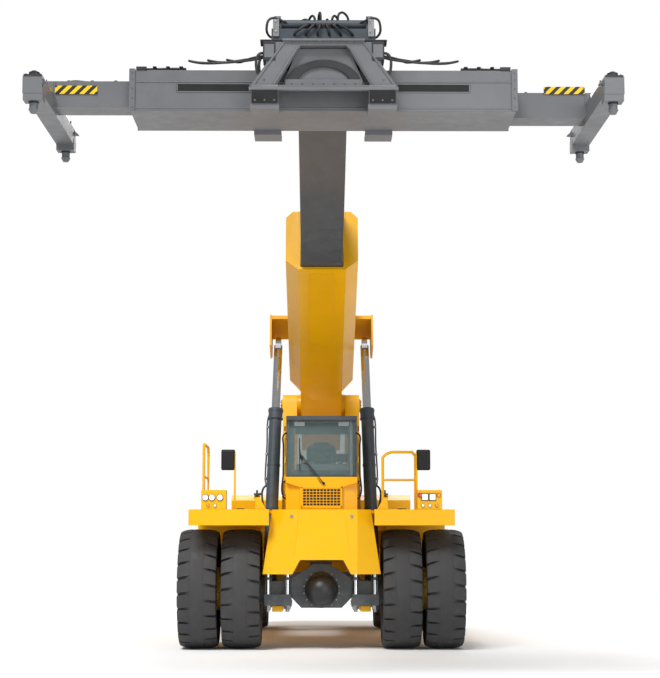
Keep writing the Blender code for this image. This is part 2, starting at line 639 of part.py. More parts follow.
def rear_wheel(side, sign, paints, parent):
    kingpin = joint_empty(f"kingpin_{side}", (sign * KINGPIN_X, WHEELBASE, TYRE_R), parent)
    centre = REAR_TYRE_X - KINGPIN_X
    face = centre - 0.06
    pin = rod((0, 0, -0.165 + SEAT_GAP), (0, 0, 0.165 - SEAT_GAP), 0.075, 20)
    spindle = rod((0, 0, 0), (sign * (face - SEAT_GAP), 0, 0), 0.07, 16)
    drum = rod((sign * 0.10, 0, 0), (sign * (face - 0.04), 0, 0), 0.15, 24)
    solid(f"steering_knuckle_{side}", [pin, spindle, drum], paints["slate"], kingpin, round_edges=True)
    axle = joint_empty(f"rear_wheel_axle_{side}", (sign * centre, 0, 0), kingpin)
    rim = [(-0.06, 0.0), (-0.06, 0.27), (-RIM_HALF_W, 0.27), (-RIM_HALF_W, 0.345), (-0.19, 0.345),
           (-0.19, BEAD_R), (0.19, BEAD_R), (0.19, 0.345), (RIM_HALF_W, 0.345), (RIM_HALF_W, 0.29),
           (0.03, 0.27), (0.01, 0.18), (0.16, 0.16), (0.18, 0.0)]
    solid(f"rear_rim_{side}", [turned([(sign * x, r) for x, r in rim], (0, 0, 0))],
          paints["yellow"], axle, round_edges=True)
    solid(f"rear_tyre_{side}", [turned(tyre_profile(0, sign), (0, 0, 0))],
          paints["tyre"], axle, round_edges=True)


# ---- Boom ----

def along(start, end):
    return (-end, -start)


def outer_boom(paints, parent):
    core = block((-BOOM_HALF_W, BOOM_HALF_W), along(BOOM_TAIL, BOOM_END), (BOOM_LOW, BOOM_HIGH))

    def wide(s, half_w):
        slope = half_w - 0.195
        points = [(slope, BOOM_LOW - 0.001), (half_w, BOOM_LOW + 0.15), (half_w, BOOM_HIGH - 0.10),
                  (half_w - 0.10, BOOM_HIGH + 0.001)]
        return [(x, -s, z) for x, z in mirrored(points)]

    shoulders = loft([wide(1.10, BOOM_HALF_W + 0.002), wide(1.60, BOOM_WIDE_HALF_W),
                      wide(BOOM_END - 0.01, BOOM_WIDE_HALF_W)])
    shapes = [core, shoulders]
    for _, sign in SIDES:
        shapes.append(rod((sign * (BOOM_HALF_W - 0.01), 0, 0),
                          (sign * (TOWER_INNER_X - SEAT_GAP), 0, 0), 0.20, 24))
        plate = [(-EYE_S - 0.42, -0.20), (-EYE_S - 0.42, 0.34), (-EYE_S + 0.40, 0.34),
                 (-EYE_S + 0.34, -0.05), (-EYE_S + 0.10, -0.20)]
        shapes.append(prism(plate, "x", *span(sign, EAR_X, EAR_X + 0.03)))
        shapes.append(block(span(sign, BOOM_WIDE_HALF_W - 0.02, EAR_X + 0.02), along(EYE_S - 0.39, EYE_S + 0.41),
                            (0.27, 0.33)))
    inside = BOOM_HALF_W - BOOM_WALL
    cavity = block((-inside, inside), along(BOOM_TAIL + 0.05, BOOM_END + 0.1),
                   (BOOM_LOW + 0.04, BOOM_HIGH - 0.04))
    return solid("outer_boom", shapes, paints["yellow"], parent, cuts=[cavity])


def inner_boom(paints, parent):
    inside = BOOM_HALF_W - BOOM_WALL
    half_w = inside - RUN_GAP
    low, high = BOOM_LOW + 0.04 + RUN_GAP, BOOM_HIGH - 0.04 - RUN_GAP
    beam = block((-half_w, half_w), along(INNER_TAIL, INNER_END), (low, high))
    pads = [block((-0.22, 0.22), along(INNER_TAIL, INNER_TAIL + 0.35), pad)
            for pad in ((low - RUN_GAP + SEAT_GAP, low + 0.05), (high - 0.05, high + RUN_GAP - SEAT_GAP))]
    solid("inner_boom", [beam, *pads], paints["slate"], parent)
    start = INNER_END + SEAT_GAP
    arc = [(HEAD_S + HEAD_R * math.cos(math.radians(a)), HEAD_U + HEAD_R * math.sin(math.radians(a)))
           for a in (55, 15, -25, -65, -105, -140)]
    outline = [(start, high - 0.02), (start + 0.30, high - 0.06), *arc, (start + 0.25, low - 0.10),
               (start, low)]
    head = prism([(-s, u) for s, u in outline], "x", -NOSE_HALF, NOSE_HALF)
    solid("boom_head", [head], paints["slate"], parent)


def lift_cylinder(side, sign, paints, machine):
    foot = Vector((sign * FOOT_X, FOOT_Y, FOOT_Z))
    eye = Vector((sign * EYE_X, PIVOT_Y - EYE_S * math.cos(BOOM_ANGLE),
                  PIVOT_Z + EYE_S * math.sin(BOOM_ANGLE)))
    reach = eye - foot
    lean = Matrix.Rotation(-math.atan2(reach.y, reach.z), 3, "X")
    tilt = Matrix.Rotation(math.asin(reach.x / reach.length), 3, "Y")
    pivot = joint_empty(f"lift_foot_{side}", foot, machine, (lean @ tilt).to_quaternion())
    length = reach.length
    barrel = [rod((0, 0, 0.05), (0, 0, BARREL_LENGTH), BARREL_R, 24),
              rod((0, 0, BARREL_LENGTH - 0.16), (0, 0, BARREL_LENGTH + 0.001), BARREL_R + 0.014, 24),
              rod((-FOOT_EYE_HALF_W, 0, 0), (FOOT_EYE_HALF_W, 0, 0), 0.135, 20)]
    gland = BARREL_LENGTH - 0.10
    cuts = [rod((0, 0, 0.24), (0, 0, gland), ROD_R + 0.005, ROD_SIDES),
            rod((0, 0, gland - 0.01), (0, 0, BARREL_LENGTH + 0.1), ROD_R + SEAT_GAP, ROD_SIDES),
            rod((-0.2, 0, 0), (0.2, 0, 0), FOOT_PIN_R + 0.006, 16)]
    solid(f"lift_barrel_{side}", barrel, paints["slate"], pivot, cuts=cuts, round_edges=True)
    rod_eye = rod((-0.045, 0, length), (0.045, 0, length), 0.12, 20)
    stem = rod((0, 0, length - ROD_LENGTH), (0, 0, length - 0.02), ROD_R, ROD_SIDES)
    solid(f"lift_rod_{side}", [stem, rod_eye], paints["chrome"], pivot, round_edges=True)


# ---- Head and spreader ----

def head_point():
    """The head pin seen from the boom pivot with the boom at its stored angle: along Y and Z."""
    c, s = math.cos(BOOM_ANGLE), math.sin(BOOM_ANGLE)
    return -(HEAD_S * c - HEAD_U * s), HEAD_S * s + HEAD_U * c


def tilt_yoke(paints, parent, head_y, head_z):
    """Hangs on the head pin; parent stands on the pin. Its arm reaches forward over the rotator."""
    centre = ROTATOR_Y - head_y
    low = FRAME_HIGH + 0.07 - head_z
    high = head_z + 0.13 - head_z
    arm = [(-0.18, low), (0.12, -0.10), (0.14, 0.06), (0.08, high), (-0.08, high + 0.02),
           (centre - 0.30, high), (centre - 0.38, low)]
    shapes = []
    for _, sign in SIDES:
        shapes.append(prism(arm, "x", *span(sign, NOSE_HALF + RUN_GAP, NOSE_HALF + 0.10)))
        shapes.append(rod((sign * (NOSE_HALF + SEAT_GAP), 0, 0), (sign * (NOSE_HALF + 0.13), 0, 0), 0.10, 20))
        shapes.append(block(span(sign, 0.45, 0.52), (centre - 0.40, centre - 0.28), (low + 0.03, high + 0.02)))
    shapes.append(block((-0.55, 0.55), (centre - 0.42, centre - 0.20), (low, low + 0.14)))
    shapes.append(block((-0.46, 0.46), (centre - 0.20, centre + 0.36), (low, low + 0.12)))
    shapes.append(rod((-0.5, centre - 0.34, high - 0.05), (0.5, centre - 0.34, high - 0.05), 0.045, 12))
    shapes.insert(0, rod((0, centre, low - 0.068 + SEAT_GAP), (0, centre, low + 0.05), 0.36, 32))
    return solid("tilt_yoke", shapes, paints["slate"], parent, round_edges=True)


def rotator_frame(paints, parent):
    """Turns below the yoke and grips the main beam; parent stands on the vertical axis at Z = 0."""
    deck = block((-0.62, 0.62), (-SIDE_FRAME_Y, SIDE_FRAME_Y), (FRAME_DECK_LOW, FRAME_HIGH - 0.02))
    ring = rod((0, 0, FRAME_HIGH - 0.04), (0, 0, FRAME_HIGH + 0.002), 0.42, 32)
    shapes = [deck, ring]
    window = mirrored([(0.24, FRAME_HIGH - 0.06), (0.49, FRAME_LOW + 0.03)])
    cuts = []
    for _, face in SIDES:
        y = tuple(sorted((face * SIDE_FRAME_Y, face * (SIDE_FRAME_Y - 0.07))))
        legs = mirrored([(SIDE_FRAME_HIGH_HALF, FRAME_HIGH), (SIDE_FRAME_LOW_HALF, FRAME_LOW + 0.03),
                         (SIDE_FRAME_LOW_HALF, FRAME_LOW)])
        shapes.append(prism(legs, "y", *y))
        outer_cut = tuple(sorted((face * (SIDE_FRAME_Y + 0.1), face * (SIDE_FRAME_Y - 0.12))))
        cuts.append(prism(window, "y", *outer_cut))
        for _, sign in SIDES:
            grip_y = tuple(sorted((face * (SIDE_FRAME_Y + 0.02), face * (MAIN_HALF_D - GRIP_REACH))))
            shapes.append(block(span(sign, 0.46, 0.76), grip_y, (MAIN_LOW - GRIP, MAIN_LOW - SEAT_GAP)))
            wall_y = tuple(sorted((face * (SIDE_FRAME_Y + 0.02), face * (MAIN_HALF_D + RUN_GAP))))
            shapes.append(block(span(sign, 0.47, 0.75), wall_y, (MAIN_LOW - GRIP + 0.005, FRAME_LOW + 0.028)))
    for _, sign in SIDES:
        shapes.append(block(span(sign, 0.50, 0.60), (-SIDE_FRAME_Y + 0.01, SIDE_FRAME_Y - 0.01),
                            (MAIN_HIGH + SEAT_GAP, FRAME_HIGH - 0.01)))
    return solid("rotator_frame", shapes, paints["grey"], parent, cuts=cuts)


def main_beam(paints, parent):
    """Two box tubes side by side, open at both ends for the sliding beams."""
    body = block((-MAIN_HALF_L, MAIN_HALF_L), (-MAIN_HALF_D, MAIN_HALF_D), (MAIN_LOW, MAIN_HIGH))
    cuts = []
    for _, face in SIDES:
        y = tuple(sorted((face * 0.035, face * (0.035 + BEAM_D + 2 * RUN_GAP))))
        cuts.append(block((-MAIN_HALF_L - 0.1, MAIN_HALF_L + 0.1), y,
                          (BEAM_LOW - RUN_GAP, BEAM_HIGH + RUN_GAP)))
    return solid("spreader_main_beam", [body], paints["grey"], parent, cuts=cuts)


def sliding_beam(side, sign, paints, parent):
    """One sliding beam with its end beam, corner guides and twistlocks."""
    y0 = sign * (0.035 + RUN_GAP)
    beam_y = tuple(sorted((y0, y0 + sign * BEAM_D)))
    inner_end = -sign * BEAM_OVERLAP
    outer_end = sign * (SPREADER_HALF_L - END_BEAM_W / 2)
    lock_x = sign * (SPREADER_HALF_L - LOCK_INSET)
    beam = block(tuple(sorted((inner_end, outer_end))), beam_y, (BEAM_LOW, BEAM_HIGH))
    end_x = span(sign, SPREADER_HALF_L - END_BEAM_W, SPREADER_HALF_L)
    end_beam = block(end_x, (-END_BEAM_HALF_D, END_BEAM_HALF_D), (END_BEAM_LOW, END_BEAM_HIGH))
    pads = block(tuple(sorted((inner_end, inner_end + sign * 0.25))), (beam_y[0] + 0.06, beam_y[1] - 0.06),
                 (BEAM_LOW - RUN_GAP + SEAT_GAP, BEAM_LOW + 0.03))
    shapes = [beam, end_beam, pads]
    for face in (-1, 1):
        y = face * LOCK_HALF_SPAN
        shapes.append(block(span(sign, SPREADER_HALF_L - END_BEAM_W - 0.005, SPREADER_HALF_L - 0.005),
                            (y - 0.085, y + 0.085), (LOCK_SEAT, BEAM_LOW)))
        shapes.append(rod((lock_x, y, LOCK_SEAT + 0.01), (lock_x, y, LOCK_SEAT - 0.08), 0.045, 12))
        shapes.append(rod((lock_x, y, LOCK_SEAT - 0.075), (lock_x, y, LOCK_SEAT - 0.12), 0.055, 12, 0.03))
        guide = [(sign * (SPREADER_HALF_L - end), END_BEAM_HIGH + rise)
                 for end, rise in ((0.25, -0.06), (0.14, 0.03), (0.08, 0.03), (0.006, -0.06))]
        shapes.append(prism(guide, "y", y - 0.05, y + 0.05))
    return solid(f"spreader_beam_{side}", shapes, paints["grey"], parent)


# ---- Assembly ----

def build():
    for thing in list(bpy.data.objects):
        bpy.data.objects.remove(thing, do_unlink=True)
    paints = machine_paints()
    machine = joint_empty("machine", (0, MACHINE_SHIFT, 0), None)

    front_body(paints, machine)
    main_frame(paints, machine)
    front_axle(paints, machine)
    rear_axle(paints, machine)
    counterweight(paints, machine)
    engine(paints, machine)
    boom_towers(paints, machine)
    rails(paints, machine)
    for side, sign in SIDES:
        fender(side, sign, paints, machine)
        side_tank(side, sign, paints, machine)
        lamp_box(side, sign, paints, machine)
        cab_door(side, sign, paints, machine)
        front_wheel(side, sign, paints, machine)
        rear_wheel(side, sign, paints, machine)
        lift_cylinder(side, sign, paints, machine)
    mirror("left", -1, -1.37, paints, machine)
    mirror("right", 1, 1.49, paints, machine)

    cab_base(paints, machine)
    cab_frame(paints, machine)
    wrap_glass(paints, machine)
    cab_pillars(paints, machine)
    rear_window(paints, machine)
    cab_fittings(paints, machine)

    boom_pivot = joint_empty("boom_pivot", (0, PIVOT_Y, PIVOT_Z), machine,
                             Matrix.Rotation(-BOOM_ANGLE, 3, "X").to_quaternion())
    outer_boom(paints, boom_pivot)
    inner_boom(paints, boom_pivot)

    reach_y, reach_z = head_point()
    head_y, head_z = PIVOT_Y + reach_y, PIVOT_Z + reach_z
    head_pin = joint_empty("head_pin", (0, head_y, head_z), machine)
    tilt_yoke(paints, head_pin, head_y, head_z)
    rotator = joint_empty("rotator_axis", (0, ROTATOR_Y, 0), machine)
    rotator_frame(paints, rotator)
    main_beam(paints, rotator)
    for side, sign in SIDES:
        sliding_beam(side, sign, paints, rotator)
    bpy.context.view_layer.update()


build()
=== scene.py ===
import json
import math
import bmesh
import bpy
from mathutils import Matrix, Vector

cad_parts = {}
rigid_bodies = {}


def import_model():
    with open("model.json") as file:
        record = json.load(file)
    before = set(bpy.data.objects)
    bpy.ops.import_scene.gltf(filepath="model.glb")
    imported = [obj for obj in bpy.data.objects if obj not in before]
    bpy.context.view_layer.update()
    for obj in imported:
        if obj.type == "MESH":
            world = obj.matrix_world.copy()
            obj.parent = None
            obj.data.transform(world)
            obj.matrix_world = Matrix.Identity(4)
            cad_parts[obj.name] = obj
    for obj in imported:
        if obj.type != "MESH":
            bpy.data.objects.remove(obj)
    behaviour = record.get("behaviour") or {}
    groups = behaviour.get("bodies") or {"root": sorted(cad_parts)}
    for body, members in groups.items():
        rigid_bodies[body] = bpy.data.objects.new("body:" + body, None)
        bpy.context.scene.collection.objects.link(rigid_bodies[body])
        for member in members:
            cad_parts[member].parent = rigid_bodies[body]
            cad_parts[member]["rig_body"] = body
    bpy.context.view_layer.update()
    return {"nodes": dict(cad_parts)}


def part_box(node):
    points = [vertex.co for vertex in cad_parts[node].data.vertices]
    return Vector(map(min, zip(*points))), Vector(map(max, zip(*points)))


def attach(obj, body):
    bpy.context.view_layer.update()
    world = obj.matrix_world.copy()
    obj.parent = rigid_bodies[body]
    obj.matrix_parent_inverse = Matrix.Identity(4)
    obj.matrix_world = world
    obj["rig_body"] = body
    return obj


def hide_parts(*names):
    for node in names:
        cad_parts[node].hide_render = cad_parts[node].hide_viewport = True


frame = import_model()
print("frame loaded:", len(frame["nodes"]), "nodes")

# camera, light and floor
view = {
    "place": (-0.057, -25.42, 1.58),
    "tiltUp": math.radians(6.6),
    "turnRight": math.radians(0.4),
    "lens": 92.6,
}


def makeCamera():
    data = bpy.data.cameras.new("camera")
    data.lens = view["lens"]
    data.clip_end = 300
    cam = bpy.data.objects.new("camera", data)
    cam.location = view["place"]
    cam.rotation_euler = (math.pi / 2 + view["tiltUp"], 0, -view["turnRight"])
    bpy.context.scene.collection.objects.link(cam)
    bpy.context.scene.camera = cam


makeCamera()
studio = {
    "ambient": 0.32, "backdrop": 1.0,
    "sun": {"strength": 3.1, "spread": math.radians(24), "place": (-7, -15, 20)},
    "fill": {"energy": 900, "size": 12, "place": (9, -19, 6), "aim": (0, 0, 3.5)},
    "rim": {"energy": 1300, "size": 12, "place": (3, 19, 13), "aim": (0, 1, 3)},
}


def makeStudio():
    scene = bpy.context.scene
    scene.view_settings.view_transform = "Standard"
    world = bpy.data.worlds.new("studio")
    world.use_nodes = True
    tree = world.node_tree
    back = tree.nodes["Background"]
    back.inputs["Color"].default_value = (1, 1, 1, 1)
    # the backdrop shows paler than the light it gives
    path = tree.nodes.new("ShaderNodeLightPath")
    level = tree.nodes.new("ShaderNodeMapRange")
    level.inputs["To Min"].default_value = studio["ambient"]
    level.inputs["To Max"].default_value = studio["backdrop"]
    tree.links.new(path.outputs["Is Camera Ray"], level.inputs["Value"])
    tree.links.new(level.outputs["Result"], back.inputs["Strength"])
    scene.world = world
    sun = bpy.data.lights.new("sun", "SUN")
    sun.energy = studio["sun"]["strength"]
    sun.angle = studio["sun"]["spread"]
    hangLamp(sun, studio["sun"]["place"], (0, 0, 0))
    for name in ("fill", "rim"):
        spec = studio[name]
        data = bpy.data.lights.new(name, "AREA")
        data.energy = spec["energy"]
        data.size = spec["size"]
        hangLamp(data, spec["place"], spec["aim"])


def hangLamp(data, spot, aim):
    lamp = bpy.data.objects.new(data.name, data)
    lamp.location = spot
    lamp.rotation_euler = (Vector(aim) - Vector(spot)).to_track_quat("-Z", "Y").to_euler()
    bpy.context.scene.collection.objects.link(lamp)


makeStudio()

# node groups shared by the finishes


def socket(group, way, kind, name, value=None):
    made = group.interface.new_socket(name=name, in_out=way, socket_type=kind)
    if value is not None:
        made.default_value = value
    return made


def link(tree, source, target):
    tree.links.new(source, target)


def mathNode(tree, operation, first, second=None, clamp=False):
    node = tree.nodes.new("ShaderNodeMath")
    node.operation = operation
    node.use_clamp = clamp
    for index, value in enumerate((first, second)):
        if value is None:
            continue
        if isinstance(value, (int, float)):
            node.inputs[index].default_value = value
        else:
            link(tree, value, node.inputs[index])
    return node.outputs[0]


def noiseNode(tree, coords, scale, detail=4.0, rough=0.55):
    node = tree.nodes.new("ShaderNodeTexNoise")
    link(tree, coords, node.inputs["Vector"])
    if isinstance(scale, (int, float)):
        node.inputs["Scale"].default_value = scale
    else:
        link(tree, scale, node.inputs["Scale"])
    node.inputs["Detail"].default_value = detail
    node.inputs["Roughness"].default_value = rough
    return node.outputs["Fac"]


def rangeNode(tree, value, low, high, toLow=0.0, toHigh=1.0):
    node = tree.nodes.new("ShaderNodeMapRange")
    link(tree, value, node.inputs["Value"])
    node.inputs["From Min"].default_value = low
    node.inputs["From Max"].default_value = high
    node.inputs["To Min"].default_value = toLow
    node.inputs["To Max"].default_value = toHigh
    return node.outputs["Result"]


def mixNode(tree, factor, first, second):
    node = tree.nodes.new("ShaderNodeMix")
    node.data_type = "RGBA"
    link(tree, factor, node.inputs["Factor"])
    for name, value in (("A", first), ("B", second)):
        target = [s for s in node.inputs if s.name == name and s.type == "RGBA"][0]
        if isinstance(value, tuple):
            target.default_value = value
        else:
            link(tree, value, target)
    return [s for s in node.outputs if s.type == "RGBA"][0]


def makeWeathering():
    # broad tone shifts, fine grain, dust that gathers low down and small scuffs
    group = bpy.data.node_groups.new("weathering", "ShaderNodeTree")
    socket(group, "INPUT", "NodeSocketColor", "Base", (0.5, 0.5, 0.5, 1))
    socket(group, "INPUT", "NodeSocketColor", "Dust", (0.35, 0.31, 0.26, 1))
    socket(group, "INPUT", "NodeSocketFloat", "Dust Amount", 0.2)
    socket(group, "INPUT", "NodeSocketFloat", "Tone", 0.12)
    socket(group, "INPUT", "NodeSocketFloat", "Gloss Low", 0.3)
    socket(group, "INPUT", "NodeSocketFloat", "Gloss High", 0.5)
    socket(group, "INPUT", "NodeSocketFloat", "Grain Scale", 140.0)
    socket(group, "OUTPUT", "NodeSocketColor", "Color")
    socket(group, "OUTPUT", "NodeSocketFloat", "Roughness")
    socket(group, "OUTPUT", "NodeSocketFloat", "Height")
    tree = group
    given = tree.nodes.new("NodeGroupInput")
    out = tree.nodes.new("NodeGroupOutput")
    coords = tree.nodes.new("ShaderNodeTexCoord").outputs["Object"]
    broad = noiseNode(tree, coords, 0.9, 3.0)
    patches = noiseNode(tree, coords, 6.0, 6.0, 0.65)
    grain = noiseNode(tree, coords, given.outputs["Grain Scale"], 3.0)
    split = tree.nodes.new("ShaderNodeSeparateXYZ")
    link(tree, coords, split.inputs[0])
    lowDown = rangeNode(tree, split.outputs["Z"], 0.3, 2.6, 1.0, 0.12)
    dustMask = mathNode(tree, "MULTIPLY", rangeNode(tree, patches, 0.42, 0.72), lowDown)
    dustMask = mathNode(tree, "MULTIPLY", dustMask, given.outputs["Dust Amount"], clamp=True)
    tone = mathNode(tree, "MULTIPLY", rangeNode(tree, broad, 0.35, 0.65), given.outputs["Tone"])
    dark = tree.nodes.new("ShaderNodeHueSaturation")
    link(tree, given.outputs["Base"], dark.inputs["Color"])
    dark.inputs["Value"].default_value = 0.55
    toned = mixNode(tree, tone, given.outputs["Base"], dark.outputs["Color"])
    link(tree, mixNode(tree, dustMask, toned, given.outputs["Dust"]), out.inputs["Color"])
    spread = mathNode(tree, "SUBTRACT", given.outputs["Gloss High"], given.outputs["Gloss Low"])
    rough = mathNode(tree, "MULTIPLY", rangeNode(tree, patches, 0.3, 0.7), spread)
    rough = mathNode(tree, "ADD", rough, given.outputs["Gloss Low"])
    rough = mathNode(tree, "ADD", rough, mathNode(tree, "MULTIPLY", dustMask, 0.3), clamp=True)
    link(tree, rough, out.inputs["Roughness"])
    link(tree, grain, out.inputs["Height"])
    return group


weathering = makeWeathering()


def startMaterial(name):
    material = bpy.data.materials.new(name)
    material.use_nodes = True
    tree = material.node_tree
    return material, tree, tree.nodes["Principled BSDF"]


def bumpFrom(tree, height, shader, strength, distance):
    bump = tree.nodes.new("ShaderNodeBump")
    bump.inputs["Strength"].default_value = strength
    bump.inputs["Distance"].default_value = distance
    link(tree, height, bump.inputs["Height"])
    link(tree, bump.outputs["Normal"], shader.inputs["Normal"])


def coatedPaint(name, base, gloss=(0.28, 0.42), dust=0.25, tone=0.14, coat=0.25, metallic=0.0,
                grain=(140.0, 0.12, 0.0006), dustColour=(0.36, 0.31, 0.25, 1), gleam=0.5):
    material, tree, shader = startMaterial(name)
    film = tree.nodes.new("ShaderNodeGroup")
    film.node_tree = weathering
    film.inputs["Base"].default_value = (*base, 1)
    film.inputs["Dust"].default_value = dustColour
    film.inputs["Dust Amount"].default_value = dust
    film.inputs["Tone"].default_value = tone
    film.inputs["Gloss Low"].default_value = gloss[0]
    film.inputs["Gloss High"].default_value = gloss[1]
    film.inputs["Grain Scale"].default_value = grain[0]
    link(tree, film.outputs["Color"], shader.inputs["Base Color"])
    link(tree, film.outputs["Roughness"], shader.inputs["Roughness"])
    shader.inputs["Metallic"].default_value = metallic
    shader.inputs["Specular IOR Level"].default_value = gleam
    shader.inputs["Coat Weight"].default_value = coat
    shader.inputs["Coat Roughness"].default_value = 0.12
    bumpFrom(tree, film.outputs["Height"], shader, grain[1], grain[2])
    return material


def stripedPaint(name):
    # black bars at 45 degrees over yellow, across the face that looks forward
    material, tree, shader = startMaterial(name)
    film = tree.nodes.new("ShaderNodeGroup")
    film.node_tree = weathering
    coords = tree.nodes.new("ShaderNodeTexCoord").outputs["Object"]
    split = tree.nodes.new("ShaderNodeSeparateXYZ")
    link(tree, coords, split.inputs[0])
    slant = mathNode(tree, "SUBTRACT", split.outputs["X"], split.outputs["Z"])
    bars = mathNode(tree, "FRACT", mathNode(tree, "MULTIPLY", slant, 1 / 0.105))
    mask = mathNode(tree, "GREATER_THAN", bars, 0.5)
    colour = mixNode(tree, mask, (0.95, 0.55, 0.0, 1), (0.015, 0.015, 0.015, 1))
    link(tree, colour, film.inputs["Base"])
    film.inputs["Dust Amount"].default_value = 0.1
    link(tree, film.outputs["Color"], shader.inputs["Base Color"])
    link(tree, film.outputs["Roughness"], shader.inputs["Roughness"])
    return material


def clearGlass(name, tint, alpha):
    material, tree, shader = startMaterial(name)
    coords = tree.nodes.new("ShaderNodeTexCoord").outputs["Object"]
    film = noiseNode(tree, coords, 3.0, 4.0)
    link(tree, rangeNode(tree, film, 0.3, 0.7, 0.02, 0.07), shader.inputs["Roughness"])
    shader.inputs["Base Color"].default_value = (*tint, 1)
    shader.inputs["Alpha"].default_value = alpha
    shader.inputs["Specular IOR Level"].default_value = 0.8
    return material


def glowLens(name, colour, strength):
    material, tree, shader = startMaterial(name)
    coords = tree.nodes.new("ShaderNodeTexCoord").outputs["Object"]
    ribs = tree.nodes.new("ShaderNodeTexWave")
    link(tree, coords, ribs.inputs["Vector"])
    ribs.inputs["Scale"].default_value = 40
    bumpFrom(tree, ribs.outputs["Fac"], shader, 0.4, 0.002)
    shader.inputs["Base Color"].default_value = (*colour, 1)
    shader.inputs["Roughness"].default_value = 0.08
    shader.inputs["Coat Weight"].default_value = 1.0
    shader.inputs["Emission Color"].default_value = (*colour, 1)
    shader.inputs["Emission Strength"].default_value = strength
    return material


def wovenCloth(name, base):
    material, tree, shader = startMaterial(name)
    coords = tree.nodes.new("ShaderNodeTexCoord").outputs["Object"]
    weave = tree.nodes.new("ShaderNodeTexChecker")
    link(tree, coords, weave.inputs["Vector"])
    weave.inputs["Scale"].default_value = 260
    patches = noiseNode(tree, coords, 14, 5)
    colour = mixNode(tree, patches, (*base, 1), (base[0] * 2.2, base[1] * 2.2, base[2] * 2.3, 1))
    link(tree, colour, shader.inputs["Base Color"])
    link(tree, rangeNode(tree, patches, 0.2, 0.8, 0.75, 0.95), shader.inputs["Roughness"])
    bumpFrom(tree, weave.outputs["Fac"], shader, 0.5, 0.0006)
    shader.inputs["Sheen Weight"].default_value = 0.3
    return material


yellow = (0.88, 0.455, 0.0)
finishes = {
    "yellow": coatedPaint("yellowPaint", yellow, dust=0.10, coat=0.12, gleam=0.3),
    # the boom's yellow, darker than the body's: painted shade for the shadow and the downward faces of the
    # boom, not a different paint
    "boomShadedYellow": coatedPaint("boomShadedYellow", (0.74, 0.375, 0.0), dust=0.06, tone=0.2, coat=0.1, gleam=0.25),
    "slate": coatedPaint("slatePaint", (0.05, 0.065, 0.08), gloss=(0.32, 0.5), dust=0.3, tone=0.3),
    "spreader": coatedPaint("spreaderPaint", (0.135, 0.14, 0.15), gloss=(0.4, 0.6), dust=0.2, tone=0.35,
                            coat=0.08),
    "spreaderDark": coatedPaint("spreaderDark", (0.018, 0.019, 0.021), gloss=(0.4, 0.6), dust=0.08, tone=0.3,
                                coat=0.08),
    "chrome": coatedPaint("chromeRod", (0.72, 0.73, 0.75), gloss=(0.08, 0.2), dust=0.05, tone=0.1,
                          metallic=1.0, coat=0.0, grain=(60.0, 0.02, 0.0003)),
    "steel": coatedPaint("zincSteel", (0.42, 0.42, 0.43), gloss=(0.25, 0.45), dust=0.15, metallic=0.9,
                         coat=0.0),
    "rubber": coatedPaint("tyreRubber", (0.035, 0.035, 0.037), gloss=(0.6, 0.85), dust=0.28, tone=0.3,
                          coat=0.0, grain=(90.0, 0.5, 0.002), dustColour=(0.13, 0.12, 0.11, 1)),
    "hose": coatedPaint("hoseRubber", (0.018, 0.018, 0.02), gloss=(0.4, 0.6), dust=0.1, coat=0.0,
                        grain=(220.0, 0.3, 0.001)),
    "plastic": coatedPaint("blackPlastic", (0.010, 0.010, 0.011), gloss=(0.4, 0.6), dust=0.03, coat=0.0,
                           grain=(420.0, 0.35, 0.0006), gleam=0.3),
    "gloss": coatedPaint("glossBlack", (0.016, 0.017, 0.019), gloss=(0.36, 0.46), dust=0.02, tone=0.05,
                         coat=0.0),
    "cabGrey": coatedPaint("cabLining", (0.20, 0.20, 0.205), gloss=(0.5, 0.75), dust=0.05, coat=0.0,
                           grain=(300.0, 0.3, 0.0006)),
    "stripes": stripedPaint("hazardPaint"),
    "glass": clearGlass("cabGlass", (0.16, 0.23, 0.235), 0.36),
    "mirrorGlass": coatedPaint("mirrorFace", (0.85, 0.87, 0.88), gloss=(0.02, 0.05), dust=0.0,
                               metallic=1.0, coat=0.0, grain=(20.0, 0.0, 0.0001)),
    "lamp": glowLens("lampLens", (0.85, 0.87, 0.9), 0.25),
    "amber": glowLens("amberLens", (0.9, 0.25, 0.02), 0.3),
    "red": glowLens("redLens", (0.6, 0.01, 0.01), 0.2),
    "cloth": wovenCloth("seatCloth", (0.03, 0.032, 0.037)),
    "tread": coatedPaint("deckTread", (0.55, 0.33, 0.02), gloss=(0.5, 0.7), dust=0.5, coat=0.0,
                         grain=(60.0, 0.6, 0.004)),
}
print("materials:", len(finishes))


def place(thing, body, finish):
    thing.data.materials.append(finishes[finish])
    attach(thing, body)
    return thing


def addPiece(name, bm, body, finish, edge=0.004, steps=2, smooth=40):
    bmesh.ops.remove_doubles(bm, verts=bm.verts, dist=1e-6)
    bmesh.ops.recalc_face_normals(bm, faces=bm.faces)
    mesh = bpy.data.meshes.new(name)
    bm.to_mesh(mesh)
    bm.free()
    thing = bpy.data.objects.new(name, mesh)
    bpy.context.scene.collection.objects.link(thing)
    mesh.shade_smooth()
    mesh.set_sharp_from_angle(angle=math.radians(smooth))
    if edge:
        bevelEdges(thing, edge, steps)
    return place(thing, body, finish)


def bevelEdges(thing, width, steps):
    bevel = thing.modifiers.new("edges", "BEVEL")
    bevel.width = width
    bevel.segments = steps
    bevel.limit_method = "ANGLE"
    bevel.angle_limit = math.radians(38)
    bevel.harden_normals = True


